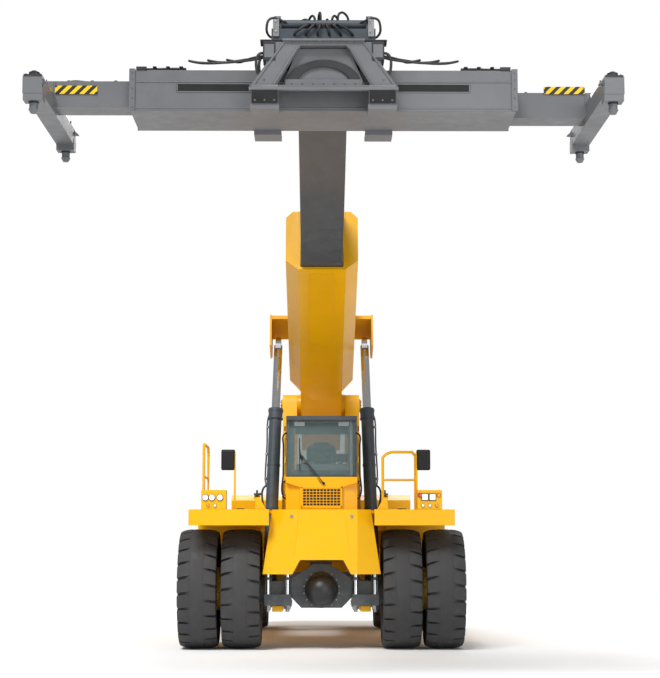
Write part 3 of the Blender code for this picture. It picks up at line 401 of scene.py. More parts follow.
def refined(node, finish, edge=0.008, steps=2):
    # the CAD solid with its flat faces joined up and its edges rounded
    source = frame["nodes"][node]
    bm = bmesh.new()
    bm.from_mesh(source.data)
    bmesh.ops.remove_doubles(bm, verts=bm.verts, dist=2e-5)
    bmesh.ops.dissolve_limit(bm, angle_limit=math.radians(0.6), verts=bm.verts, edges=bm.edges)
    mesh = bpy.data.meshes.new(node + "_skin")
    bm.to_mesh(mesh)
    bm.free()
    thing = bpy.data.objects.new(node + "_skin", mesh)
    bpy.context.scene.collection.objects.link(thing)
    mesh.shade_smooth()
    mesh.set_sharp_from_angle(angle=math.radians(35))
    bevelEdges(thing, edge, steps)
    place(thing, source["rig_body"], finish)
    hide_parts(node)
    return thing


def addBox(bm, low, high):
    made = bmesh.ops.create_cube(bm, size=1)["verts"]
    for vert in made:
        vert.co = Vector([a + (c + 0.5) * (b - a) for c, a, b in zip(vert.co, low, high)])
    return made


def addRod(bm, start, end, radius, sides=20, endRadius=None):
    start, end = Vector(start), Vector(end)
    turn = Vector((0, 0, 1)).rotation_difference(end - start).to_matrix().to_4x4()
    matrix = Matrix.Translation((start + end) / 2) @ turn
    last = radius if endRadius is None else endRadius
    return bmesh.ops.create_cone(bm, cap_ends=True, segments=sides, radius1=radius, radius2=last,
                                 depth=(end - start).length, matrix=matrix)["verts"]


def addBolt(bm, at, direction, size=0.018):
    # washer, hexagon head and a short stud, as shares of the head's size
    at, direction = Vector(at), Vector(direction).normalized()
    addRod(bm, at - direction * 0.002, at + direction * size * 0.18, size * 1.25, 14)
    addRod(bm, at, at + direction * size * 0.8, size, 6)
    addRod(bm, at, at + direction * size * 1.05, size * 0.45, 8)


def box(low, high, *turn):
    return ("box", low, high, *turn)


def rod(start, end, *rest):
    return ("rod", start, end, *rest)


def bolt(at, direction, *rest):
    return ("bolt", at, direction, *rest)


def flipped(point, side):
    return (side * point[0], point[1], point[2])


def fill(bm, shapes, side=1):
    # shapes are written for the right side, and side -1 mirrors them in x
    for kind, first, second, *rest in shapes:
        first, second = flipped(first, side), flipped(second, side)
        if kind == "rod":
            addRod(bm, first, second, *rest)
        elif kind == "bolt":
            addBolt(bm, first, second, *rest)
        else:
            low = [min(pair) for pair in zip(first, second)]
            high = [max(pair) for pair in zip(first, second)]
            made = addBox(bm, low, high)
            if rest:
                centre, angle, axis = rest
                turn = Matrix.Rotation(angle if axis == "X" else side * angle, 3, axis)
                bmesh.ops.rotate(bm, verts=made, cent=flipped(centre, side), matrix=turn)


both = (-1, 1)
sides = (("left", -1), ("right", 1))


def build(name, body, finish, shapes, at=(1,), edge=0.004, steps=2):
    bm = bmesh.new()
    for side in at:
        fill(bm, shapes, side)
    return addPiece(name, bm, body, finish, edge, steps)


def loft(bm, rings):
    # quads between rings that follow each other, and a face at both ends
    for first, second in zip(rings, rings[1:]):
        for i in range(len(first)):
            j = (i + 1) % len(first)
            bm.faces.new((first[i], first[j], second[j], second[i]))
    bm.faces.new(rings[0])
    bm.faces.new(list(reversed(rings[-1])))


def prism(bm, outline, axis, start, end):
    # an outline in two axes, pushed along the third
    rings = []
    for along in (start, end):
        points = [(*pair[:axis], along, *pair[axis:]) for pair in outline]
        rings.append([bm.verts.new(point) for point in points])
    loft(bm, rings)


def circle(count, radius, phase=0.0):
    angles = [2 * math.pi * (index + phase) / count for index in range(count)]
    return [(math.cos(angle) * radius, math.sin(angle) * radius) for angle in angles]


def lathe(bm, profile, axis, steps, closed=False):
    # profile points are full 3-D points on one side of the axis through the origin
    verts = [bm.verts.new(point) for point in profile]
    pairs = list(zip(verts, verts[1:])) + ([(verts[-1], verts[0])] if closed else [])
    edges = [bm.edges.new(pair) for pair in pairs]
    bmesh.ops.spin(bm, geom=verts + edges, cent=(0, 0, 0), axis=axis, angle=2 * math.pi,
                   steps=steps, use_merge=True)


def addHoses(name, routes, radius, body, finish="hose", resolution=4):
    curve = bpy.data.curves.new(name, "CURVE")
    curve.dimensions = "3D"
    curve.bevel_depth = radius
    curve.bevel_resolution = resolution
    curve.resolution_u = 8
    curve.use_fill_caps = True
    for route in routes:
        spline = curve.splines.new("BEZIER")
        spline.bezier_points.add(len(route) - 1)
        for point, at in zip(spline.bezier_points, route):
            point.co = at
            point.handle_left_type = "AUTO"
            point.handle_right_type = "AUTO"
    thing = bpy.data.objects.new(name, curve)
    bpy.context.scene.collection.objects.link(thing)
    return place(thing, body, finish)


# CAD solids with softened edges: finish, edge width, bevel steps, nodes
skins = [
    ("yellow", 0.006, 2, ["fender_left", "fender_right", "side_tank_left", "side_tank_right", "cab_base",
                          "engine_hood", "main_frame", "lamp_box_left", "lamp_box_right",
                          "cab_door_left", "cab_door_right", "boom_towers"]),
    ("yellow", 0.02, 3, ["front_body", "counterweight"]),
    # the outer boom takes the darker yellow, which is painted shade
    ("boomShadedYellow", 0.012, 3, ["outer_boom"]),
    ("slate", 0.008, 2, ["inner_boom", "boom_head", "tilt_yoke", "front_axle", "rear_axle",
                         "cab_pillars"]),
    ("spreader", 0.006, 2, ["rotator_frame", "spreader_main_beam", "spreader_beam_left",
                            "spreader_beam_right"]),
]
painted = {
    "yellow": ["rail_left", "rail_right", "front_rim_left", "front_rim_right", "rear_rim_left",
               "rear_rim_right"],
    "slate": ["lift_barrel_left", "lift_barrel_right", "steering_knuckle_left",
              "steering_knuckle_right", "engine_block", "cab_frame"],
    "chrome": ["lift_rod_left", "lift_rod_right"],
    "plastic": ["mirror_left", "mirror_right", "steering_column"],
    "glass": ["windscreen", "rear_window", "door_glass_left", "door_glass_right"],
}
for finish, edge, steps, nodes in skins:
    for node in nodes:
        refined(node, finish, edge, steps)
for finish, nodes in painted.items():
    for node in nodes:
        thing = frame["nodes"][node]
        thing.data.materials.clear()
        thing.data.materials.append(finishes[finish])
print("frame skins made")

# tyres: a lathed carcass with broad shoulder blocks and narrow cuts between them
axles = {"front": 0.78, "rear": 6.78}
tyre = {
    "radius": 0.875, "lugs": 24, "steps": 120, "outerTurn": math.radians(4.1),
    "profile": [(0.440, 0.215), (0.470, 0.238), (0.520, 0.262), (0.600, 0.279), (0.690, 0.2815),
                (0.750, 0.272), (0.785, 0.262), (0.806, 0.246), (0.816, 0.200), (0.866, 0.112),
                (0.875, 0.070), (0.875, 0.0)],
    "bead": (0.425, 0.205),
}
# a block's five cross rows and its tip on the shoulder; turns are shares of the pitch
lug = {"rows": 4, "inner": 0.100, "reach": 0.173, "top": 0.8748, "slope": 0.006, "drop": 0.030,
       "bottom": 0.80, "undercut": 0.03, "bend": 0.10, "wide": 0.83,
       "tipX": 0.2822, "tipRadii": (0.735, 0.822), "tipTurns": (0.19, 0.91)}
wheels = {
    "front_tyre_outer_left": ("front_wheels_left", -1.8075, "front"),
    "front_tyre_inner_left": ("front_wheels_left", -1.1775, "front"),
    "front_tyre_inner_right": ("front_wheels_right", 1.1775, "front"),
    "front_tyre_outer_right": ("front_wheels_right", 1.8075, "front"),
    "rear_tyre_left": ("rear_wheel_left", -1.245, "rear"),
    "rear_tyre_right": ("rear_wheel_right", 1.245, "rear"),
}


def addLug(bm, side, start, pitch):
    def ringAt(across, radii, turns):
        low, high = radii
        corners = ((turns[0], low), (turns[0], high), (turns[1], high), (turns[1], low))
        return [bm.verts.new((side * across, -math.sin(start + pitch * turn) * radius,
                              math.cos(start + pitch * turn) * radius)) for turn, radius in corners]
    rings = []
    for row in range(lug["rows"] + 1):
        share = row / lug["rows"]
        radii = (lug["bottom"] - lug["undercut"] * share,
                 lug["top"] - lug["slope"] * share - lug["drop"] * share ** 3)
        bend = lug["bend"] * share ** 2
        rings.append(ringAt(lug["inner"] + lug["reach"] * share, radii, (bend, bend + lug["wide"])))
    rings.append(ringAt(lug["tipX"], lug["tipRadii"], lug["tipTurns"]))
    loft(bm, rings)


def makeTyres():
    half, (beadRadius, beadX) = tyre["profile"], tyre["bead"]
    loop = [(-w, 0, r) for r, w in half] + [(w, 0, r) for r, w in reversed(half[:-1])]
    loop += [(beadX, 0, beadRadius), (-beadX, 0, beadRadius)]
    pitch = 2 * math.pi / tyre["lugs"]
    for node, (body, x, axle) in wheels.items():
        bm = bmesh.new()
        lathe(bm, loop, (1, 0, 0), tyre["steps"], closed=True)
        for side in both:
            for index in range(tyre["lugs"]):
                addLug(bm, side, index * pitch + (pitch / 2 if side > 0 else 0), pitch)
        if "outer" in node:
            bmesh.ops.rotate(bm, verts=bm.verts, cent=(0, 0, 0),
                             matrix=Matrix.Rotation(tyre["outerTurn"], 3, "X"))
        bmesh.ops.translate(bm, verts=bm.verts, vec=(x, axles[axle], tyre["radius"]))
        made = addPiece(node + "_tread", bm, body, "rubber", edge=0.004, steps=1, smooth=32)
        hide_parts(node)


makeTyres()
print("tyres made")

# wheel hubs: discs as start, end, radius, sides and end radius, then rings of nuts
hub = {
    "inset": 0.12,
    "discs": [(0, 0.018, 0.285, 48, 0.285), (0.015, 0.05, 0.18, 48, 0.165), (0.048, 0.062, 0.11, 32, 0.10)],
    "nuts": [(20, 0.235, 0, 0.018, 0.017), (8, 0.135, 0.5, 0.05, 0.011)],
}


def makeHub(name, body, side, x, y):
    z = tyre["radius"]
    shapes = [rod((x + side * start, y, z), (x + side * end, y, z), *rest)
              for start, end, *rest in hub["discs"]]
    for count, radius, phase, out, size in hub["nuts"]:
        shapes += [bolt((x + side * out, y + dy, z + dz), (side, 0, 0), size)
                   for dy, dz in circle(count, radius, phase)]
    build(name, body, "yellow", shapes, edge=0.002, steps=1)


for word, side in sides:
    for axle, body in (("front", "front_wheels_"), ("rear", "rear_wheel_")):
        low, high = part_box(axle + "_rim_" + word)[:2]
        x = (high if side > 0 else low)[0] - side * hub["inset"]
        makeHub(axle + "_hub_" + word, body + word, side, x, axles[axle])
print("hubs made")

# front body: pin bosses, the folds beside the centre plate and its lower lip
nose = {"face": -0.12, "bossX": 0.435, "bossZ": 1.93, "foldX": 0.335, "foldZ": (1.36, 1.99),
        "foldTurn": math.radians(-6)}


def makeNose():
    face, x, z = nose["face"], nose["bossX"], nose["bossZ"]
    build("nose_bosses", "chassis", "steel", [
        rod((x, face + 0.01, z), (x, face - 0.012, z), 0.028, 24, 0.022),
        bolt((x, face - 0.010, z), (0, -1, 0), 0.012),
    ], both, edge=0.0015, steps=1)
    x, (low, high) = nose["foldX"], nose["foldZ"]
    bm = bmesh.new()
    fold = box((x - 0.006, face - 0.004, low), (x + 0.006, face + 0.01, high),
               (x, face, high), nose["foldTurn"], "Y")
    for side in both:
        fill(bm, [fold], side)
    fill(bm, [box((-0.28, face - 0.006, 1.305), (0.28, face + 0.02, 1.325))])
    addPiece("nose_folds", bm, "chassis", "yellow", edge=0.003)


makeNose()

# front axle: clamp rods at four places a side, as height ranges, radii and sides
clamp = {
    "xs": (0.50, 0.79), "ys": (0.42, 1.14),
    "rods": [(0.66, 1.12, 0.042, 24)],
    "collars": [(0.652, 0.692, 0.060, 24), (1.01, 1.05, 0.060, 24)],
    "nuts": [(0.585, 0.632, 0.058, 6), (0.545, 0.60, 0.030, 12), (0.628, 0.640, 0.066, 20)],
    "pad": ((0.565, 0.42, 0.545), (0.725, 1.14, 0.636)),
}
dome = {"radius": 0.232, "reach": 0.21,
        "skirt": [(0.232, -0.06), (0.245, -0.05), (0.245, -0.005), (0, -0.005)],
        "y": 0.50, "z": 0.865, "bolts": 16, "boltCircle": 0.262}


def makeAxle():
    spots = [(x, y) for x in clamp["xs"] for y in clamp["ys"]]
    for part, finish, edge, steps in (("rods", "chrome", 0.002, 1), ("collars", "slate", 0.004, 2),
                                      ("nuts", "steel", 0.003, 1)):
        shapes = [rod((x, y, low), (x, y, high), radius, count)
                  for x, y in spots for low, high, radius, count in clamp[part]]
        build("axle_clamp_" + part, "chassis", finish, shapes, both, edge, steps)
    build("axle_pads", "chassis", "yellow", [box(*clamp["pad"])], both, edge=0.012)
    radius, y, z = dome["radius"], dome["y"], dome["z"]
    turns = [math.radians(degrees) for degrees in range(0, 91, 6)]
    profile = [(radius * math.sin(t), -dome["reach"] - radius * math.cos(t)) for t in turns] + dome["skirt"]
    bm = bmesh.new()
    lathe(bm, [(r, along, 0) for r, along in profile], (0, 1, 0), 64)
    bmesh.ops.translate(bm, verts=bm.verts, vec=(0, y, z))
    addPiece("axle_dome", bm, "chassis", "gloss", edge=0, smooth=50)
    bolts = [bolt((dx, y - 0.005, z + dz), (0, -1, 0), 0.009)
             for dx, dz in circle(dome["bolts"], dome["boltCircle"], 0.5)]
    build("axle_dome_bolts", "chassis", "steel", bolts, edge=0.001, steps=1)


makeAxle()
print("front axle made")

# cab front: a raised cowl with the grille, facets under its lip, seal and wiper
cab = {
    "front": 0.78, "halfWidth": 0.535, "sill": 2.54, "lean": 0.11,
    "grille": {"x": (-0.28, 0.28), "z": (2.10, 2.355), "columns": 11, "rows": 6, "rim": 0.03, "gap": 0.006},
    "cowl": {"depth": 0.09, "step": 0.03, "inner": 0.325, "low": 2.045, "high": 2.53, "lip": (2.44, 2.375)},
    "wiper": {"foot": (0.03, 0.672, 2.43), "tip": (-0.32, 2.88), "blade": ((-0.325, 2.62), (-0.335, 3.12)),
              "bladeSteps": 12},
}


def glassPoint(x, z, out):
    # a point so far in front of the leaning windscreen
    return Vector((x, cab["front"] + 0.02 + cab["lean"] * max(0.0, z - cab["sill"]) - out, z))


def makeCowl():
    spec, half, face = cab["cowl"], cab["halfWidth"], cab["front"]
    inner, low, high = spec["inner"], spec["low"], spec["high"]
    outerLip, innerLip = spec["lip"]
    outline = [(-half, high), (half, high), (half, outerLip), (inner, innerLip), (inner, low),
               (-inner, low), (-inner, innerLip), (-half, outerLip)]
    bm = bmesh.new()
    prism(bm, outline, 1, face - spec["depth"], face + 0.004)
    addPiece("cab_cowl", bm, "chassis", "yellow", edge=0.008)
    bm = bmesh.new()
    for side in both:
        plan = [(side * (inner - 0.01), face - spec["depth"] + spec["step"]), (side * half, face - 0.004),
                (side * half, face + 0.004), (side * (inner - 0.01), face + 0.004)]
        prism(bm, plan, 2, low, outerLip - 0.004)
    addPiece("cab_cowl_facets", bm, "chassis", "yellow", edge=0.003)


def makeGrille():
    spec, face = cab["grille"], cab["front"] - cab["cowl"]["depth"]
    (low, high), (bottom, top) = spec["x"], spec["z"]
    build("grille_back", "chassis", "plastic", [box((low, face - 0.004, bottom), (high, face + 0.01, top))],
          edge=0.001, steps=1)
    xs = [low + (high - low) * index / spec["columns"] for index in range(spec["columns"] + 1)]
    zs = [bottom + (top - bottom) * index / spec["rows"] for index in range(spec["rows"] + 1)]
    bars = [box((x - 0.005, face - 0.016, bottom), (x + 0.005, face - 0.002, top)) for x in xs]
    bars += [box((low - 0.005, face - 0.014, z - 0.004), (high + 0.005, face - 0.002, z + 0.004),
                 (0, face, z), 0.5, "X") for z in zs]
    build("grille_bars", "chassis", "yellow", bars, edge=0.001, steps=1)
    rim, gap = spec["rim"], spec["gap"]
    edges = ((low - rim, low - gap, bottom - rim, top + rim),
             (high + gap, high + rim, bottom - rim, top + rim),
             (low - rim, high + rim, top + gap, top + rim),
             (low - rim, high + rim, bottom - rim, bottom - gap))
    build("grille_frame", "chassis", "yellow",
          [box((x0, face - 0.012, z0), (x1, face + 0.005, z1)) for x0, x1, z0, z1 in edges], edge=0.003)
    reach, front, sill = cab["halfWidth"] - 0.01, cab["front"], cab["sill"]
    build("sill_seal", "chassis", "plastic",
          [box((-reach, front - 0.06, sill - 0.012), (reach, front + 0.02, sill + 0.004))], edge=0.003)


def makeWiper():
    spec = cab["wiper"]
    foot, tip = Vector(spec["foot"]), glassPoint(*spec["tip"], 0.034)
    low, high = [glassPoint(x, z, 0.014) for x, z in spec["blade"]]
    build("wiper", "chassis", "plastic", [
        rod(foot + Vector((0, 0.03, 0)), foot - Vector((0, 0.012, 0)), 0.022, 20),
        rod(foot - Vector((0, 0.006, 0)), tip, 0.007, 10),
        rod(foot - Vector((0.035, 0.006, -0.004)), tip + Vector((-0.006, 0, -0.02)), 0.005, 10),
        rod(low, high, 0.006, 8),
        rod(tip + Vector((0.004, 0.012, -0.08)), tip + Vector((-0.012, 0.012, 0.08)), 0.009, 8),
    ], edge=0.001, steps=1)
    back = Vector((0, 0.006, 0))
    marks = [low.lerp(high, step / spec["bladeSteps"]) + back for step in range(spec["bladeSteps"] + 1)]
    build("wiper_blade", "chassis", "hose",
          [rod(first, second, 0.004, 6) for first, second in zip(marks, marks[1:])], edge=0)


# inside the cab and on its roof
cabTrim = {
    "grabRail": [(0.53, 0.86, 2.20), (0.575, 0.83, 2.24), (0.575, 0.83, 2.6), (0.575, 0.87, 3.0),
                 (0.575, 0.89, 3.16), (0.53, 0.93, 3.20)],
    "visor": [box((-0.53, 0.835, 3.392), (0.53, 0.86, 3.412)),
              box((-0.40, 0.955, 3.18), (0.40, 0.967, 3.34)),
              rod((-0.42, 0.965, 3.345), (0.42, 0.965, 3.345), 0.010, 12)],
    "workLamp": [box((0.255, 0.925, 3.305), (0.425, 0.95, 3.365))],
    "dash": [(0.90, 2.545), (0.90, 2.66), (0.96, 2.72), (1.06, 2.74), (1.12, 2.70), (1.10, 2.56)],
    "dashHalf": 0.38,
    "gauges": [rod((x, 1.04, 2.735), (x, 1.055, 2.752), 0.035, 24) for x in (-0.27, -0.15, 0.17, 0.28)],
    "screen": [box((0.22, 1.02, 2.76), (0.40, 1.045, 2.89)),
               rod((0.31, 1.035, 2.70), (0.31, 1.035, 2.78), 0.012, 12)],
    "stick": [rod((0.30, 1.66, 2.70), (0.30, 1.60, 2.84), 0.014, 16, 0.018),
              box((0.25, 1.56, 2.655), (0.35, 1.86, 2.70))],
    "knob": (0.30, 1.595, 2.855), "knobRadius": 0.030,
}


def makeCabTrim():
    spec = cabTrim
    addHoses("cab_grab_rails", [[flipped(point, side) for point in spec["grabRail"]] for side in both],
             0.013, "chassis", "plastic")
    build("sun_visor", "chassis", "plastic", spec["visor"], edge=0.002, steps=1)
    build("roof_work_lamps", "chassis", "lamp", spec["workLamp"], both, edge=0.006)
    dash = bmesh.new()
    prism(dash, spec["dash"], 0, -spec["dashHalf"], spec["dashHalf"])
    fill(dash, spec["gauges"])
    addPiece("dashboard", dash, "chassis", "cabGrey", edge=0.012, steps=3)
    build("cab_screen", "chassis", "plastic", spec["screen"], edge=0.006)
    controls = bmesh.new()
    for side in both:
        fill(controls, spec["stick"], side)
        bmesh.ops.create_icosphere(controls, subdivisions=2, radius=spec["knobRadius"],
                                   matrix=Matrix.Translation(flipped(spec["knob"], side)))
    addPiece("joysticks", controls, "chassis", "plastic", edge=0.004)


makeCowl()
makeGrille()
makeWiper()
makeCabTrim()
print("cab trim made")

wheel = {"centre": (0, 1.30, 2.745), "radius": 0.185, "tube": 0.015, "tilt": math.radians(35),
         "spokes": (90, 210, 330), "knob": (0.13, 0.13, 0.075), "knobRadius": 0.024}


def makeSteeringWheel():
    bm = bmesh.new()
    ring = bmesh.ops.create_circle(bm, segments=14, radius=wheel["tube"])["verts"]
    bmesh.ops.rotate(bm, verts=ring, cent=(0, 0, 0), matrix=Matrix.Rotation(math.pi / 2, 3, "X"))
    bmesh.ops.translate(bm, verts=ring, vec=(wheel["radius"], 0, 0))
    bmesh.ops.spin(bm, geom=bm.verts[:] + bm.edges[:], cent=(0, 0, 0), axis=(0, 0, 1),
                   angle=2 * math.pi, steps=56, use_merge=True)
    for degrees in wheel["spokes"]:
        angle = math.radians(degrees)
        addRod(bm, (0, 0, -0.03), (math.cos(angle) * wheel["radius"], math.sin(angle) * wheel["radius"], 0),
               0.014, 12, 0.010)
    x, y, z = wheel["knob"]
    fill(bm, [rod((0, 0, -0.06), (0, 0, 0.012), 0.05, 32, 0.042),
              rod((x, y, 0), (x, y, z - 0.005), 0.008, 10)])
    bmesh.ops.create_uvsphere(bm, u_segments=16, v_segments=10, radius=wheel["knobRadius"],
                              matrix=Matrix.Translation(wheel["knob"]))
    bmesh.ops.rotate(bm, verts=bm.verts, cent=(0, 0, 0), matrix=Matrix.Rotation(wheel["tilt"], 3, "X"))
    bmesh.ops.translate(bm, verts=bm.verts, vec=wheel["centre"])
    addPiece("steering_wheel", bm, "chassis", "plastic", edge=0)


makeSteeringWheel()
# operator's seat: crowned pads with sewn channels, on a frame with a bellows
seat = {
    "cushion": {"low": (-0.24, 1.70, 2.50), "high": (0.24, 2.20, 2.63), "crown": 0.03, "channels": 4,
                "axis": 2},
    "back": {"low": (-0.24, 2.14, 2.60), "high": (0.24, 2.27, 3.09), "crown": 0.03, "channels": 4,
             "axis": 1},
    "headrest": {"low": (-0.13, 2.15, 3.00), "high": (0.13, 2.23, 3.13), "crown": 0.02, "channels": 1,
                 "axis": 1},
    "cuts": 23, "roundness": 5, "seam": 0.008, "pinch": 0.03, "sink": 0.02,
    "base": [box((-0.20, 1.76, 2.083), (0.20, 2.20, 2.14)), box((-0.22, 1.72, 2.46), (0.22, 2.20, 2.505)),
             box((-0.235, 2.24, 2.48), (0.235, 2.30, 3.0))],
    "bellows": {"folds": 6, "low": 2.15, "pitch": 0.052, "height": 0.045, "half": 0.17, "tuck": 0.008},
    "arm": [box((0.25, 1.86, 2.66), (0.35, 2.22, 2.70)), box((0.28, 2.16, 2.5), (0.32, 2.24, 2.68))],
}


def padMesh(low, high, crown, channels, axis):
    # sides pulled in between the corners, sewn channels across the crowned face
    bm = bmesh.new()
    addBox(bm, (-1, -1, -1), (1, 1, 1))
    bmesh.ops.subdivide_edges(bm, edges=bm.edges[:], cuts=seat["cuts"], use_grid_fill=True)
    half = [(b - a) / 2 for a, b in zip(low, high)]
    centre = [(a + b) / 2 for a, b in zip(low, high)]
    power = seat["roundness"]
    for vert in bm.verts:
        p = vert.co / sum(abs(c) ** power for c in vert.co) ** (1 / power)
        across, along = (p.x, p.y) if axis == 2 else (p.x, p.z)
        face = p.z if axis == 2 else -p.y
        dome = crown * max(0.0, face) * (1 - 0.8 * across * across) * (1 - 0.6 * along * along)
        stitch = abs(math.sin((along + 1) * channels * math.pi / 2)) ** 0.4
        shift = dome + seat["seam"] * max(0.0, face) * stitch - seat["sink"]
        pinch = 1 - seat["pinch"] * (1 - abs(along)) * abs(across) ** 4
        out = Vector((p.x * half[0] * pinch, p.y * half[1], p.z * half[2]))
        if face > 0:
            out[axis] += shift if axis == 2 else -shift
        vert.co = out + Vector(centre)
    return bm


def makeSeat():
    for name in ("cushion", "back", "headrest"):
        made = addPiece("seat_" + name, padMesh(**seat[name]), "chassis", "cloth", edge=0, smooth=80)
        if name != "headrest":
            sub = made.modifiers.new("soft", "SUBSURF")
            sub.levels = sub.render_levels = 1
        if name == "cushion":
            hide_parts("operator_seat")
    bm = bmesh.new()
    fold = seat["bellows"]
    fill(bm, seat["base"])
    for index in range(fold["folds"]):
        z, half = fold["low"] + index * fold["pitch"], fold["half"] - fold["tuck"] * (index % 2)
        addBox(bm, (-half, 1.80, z), (half, 2.16, z + fold["height"]))
    for side in both:
        fill(bm, seat["arm"], side)
    addPiece("seat_frame", bm, "chassis", "plastic", edge=0.010, steps=3)


makeSeat()
print("seat made")

# lamps: round ones as x, z, radius and lens, and two square ones on the right box
lamps = {
    "front": -0.158, "rear": 8.30, "rearZ": 1.35, "rearX": 1.18, "rearPitch": 0.13,
    "round": [(-1.68, 2.20, 0.042, "lamp"), (-1.585, 2.20, 0.042, "lamp"), (-1.47, 2.20, 0.042, "lamp"),
              (1.42, 2.235, 0.030, "red"), (1.69, 2.235, 0.026, "amber"), (-1.64, 2.085, 0.020, "amber"),
              (-1.54, 2.085, 0.020, "lamp"), (1.46, 2.085, 0.020, "lamp"), (1.56, 2.085, 0.020, "lamp"),
              (1.66, 2.085, 0.020, "amber")],
    "square": (1.49, 1.60),
    "pieces": {"lamp": ("lamp_lenses", 0.002), "amber": ("lamp_lenses_amber", 0),
               "red": ("lamp_lenses_red", 0)},
}


def addLens(bm, centre, radius, flat):
    made = bmesh.ops.create_uvsphere(bm, u_segments=24, v_segments=12, radius=radius)["verts"]
    for vert in made:
        vert.co = Vector(centre) + Vector((vert.co.x, vert.co.y * flat, vert.co.z))


def makeLamps():
    shells = bmesh.new()
    lenses = {name: bmesh.new() for name in lamps["pieces"]}
    y = lamps["front"]
    for x, z, radius, lens in lamps["round"]:
        rim = radius * 1.12
        fill(shells, [rod((x, y + 0.07, z), (x, y, z), radius * 0.75, 24, rim),
                      rod((x, y + 0.002, z), (x, y - 0.010, z), rim, 28)])
        addLens(lenses[lens], (x, y - 0.008, z), radius, 0.22)
    for x in lamps["square"]:
        addBox(shells, (x - 0.052, y - 0.004, 2.155), (x + 0.052, y + 0.03, 2.26))
        addBox(lenses["lamp"], (x - 0.042, y - 0.012, 2.165), (x + 0.042, y, 2.25))
    y, z = lamps["rear"], lamps["rearZ"]
    for side in both:
        for index, lens in enumerate(("red", "amber", "lamp")):
            x = side * (lamps["rearX"] + index * lamps["rearPitch"])
            addRod(shells, (x, y - 0.06, z), (x, y, z), 0.062, 24)
            addLens(lenses[lens], (x, y, z), 0.05, 0.25)
    addPiece("lamp_shells", shells, "chassis", "plastic", edge=0.002, steps=1)
    for finish, (name, edge) in lamps["pieces"].items():
        addPiece(name, lenses[finish], "chassis", finish, edge=edge, steps=1)


# mirrors: shells narrower in front, glass facing back, stems on the inner side
mirror = {
    "xs": (-1.37, 1.49), "half": 0.108, "y": (0.128, 0.19), "z": (2.60, 2.915), "middle": 2.757,
    "taper": (0.86, 0.9),
    "glass": ((-0.094, 0.186, 2.615), (0.094, 0.194, 2.90)), "stemY": 0.165, "stemOut": 0.10,
    "stems": [(1, 2.033, 1, 2.66, 0.014, 14), (1, 2.63, 0, 2.66, 0.011, 12), (1, 2.86, 0, 2.84, 0.011, 12),
              (1, 2.60, 1, 2.87, 0.012, 12), (1, 2.032, 1, 2.045, 0.040, 20)],
}


def makeMirrors():
    shells, glasses, stems = bmesh.new(), bmesh.new(), bmesh.new()
    half, (front, back), (low, high), (narrow, short) = [mirror[key] for key in ("half", "y", "z", "taper")]
    middle, y, (glassLow, glassHigh) = mirror["middle"], mirror["stemY"], mirror["glass"]
    for x in mirror["xs"]:
        for vert in addBox(shells, (x - half, front, low), (x + half, back, high)):
            if vert.co.y < (front + back) / 2:
                vert.co.x = x + (vert.co.x - x) * narrow
                vert.co.z = middle + (vert.co.z - middle) * short
        addBox(glasses, (x + glassLow[0], *glassLow[1:]), (x + glassHigh[0], *glassHigh[1:]))
        out = mirror["stemOut"] if x < 0 else -mirror["stemOut"]
        for first, z0, second, z1, radius, count in mirror["stems"]:
            addRod(stems, (x + first * out, y, z0), (x + second * out, y, z1), radius, count)
    addPiece("mirror_shells", shells, "chassis", "plastic", edge=0.026, steps=4)
    addPiece("mirror_glasses", glasses, "chassis", "mirrorGlass", edge=0.003)
    made = addPiece("mirror_stems", stems, "chassis", "yellow", edge=0.001, steps=1)
    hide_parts("mirror_left", "mirror_right")


makeLamps()
makeMirrors()
print("lamps and mirrors made")

# lift cylinders: collars, pipes, hoses and pin caps, measured along the barrel from its foot
lift = {
    "foot": (0.82, 1.98, 0.85), "eye": (0.70, 2.807, 4.753), "length": 2.90,
    "bands": [(2.725, 2.745, 0.122), (2.85, 2.888, 0.121), (0.55, 0.585, 0.106), (1.25, 1.285, 0.106),
              (1.95, 1.985, 0.106)],
    "glandBolts": 10, "glandCircle": 0.095, "pipeOut": 0.118, "pipeBack": 0.02,
    "pipe": [(2.80, 0.098, 0), (2.74, 0, 1), (2.3, 0, 1), (1.7, 0, 1), (1.62, 0.10, 0)],
    "hose": [(1.64, 0.10), (1.58, 0.15), (1.40, 0.155), (1.27, 0.12)],
    "clips": (1.75, 2.15, 2.6), "caps": [(0.972, 0.992, 0.09), (0.98, 1.0, 0.05)],
}


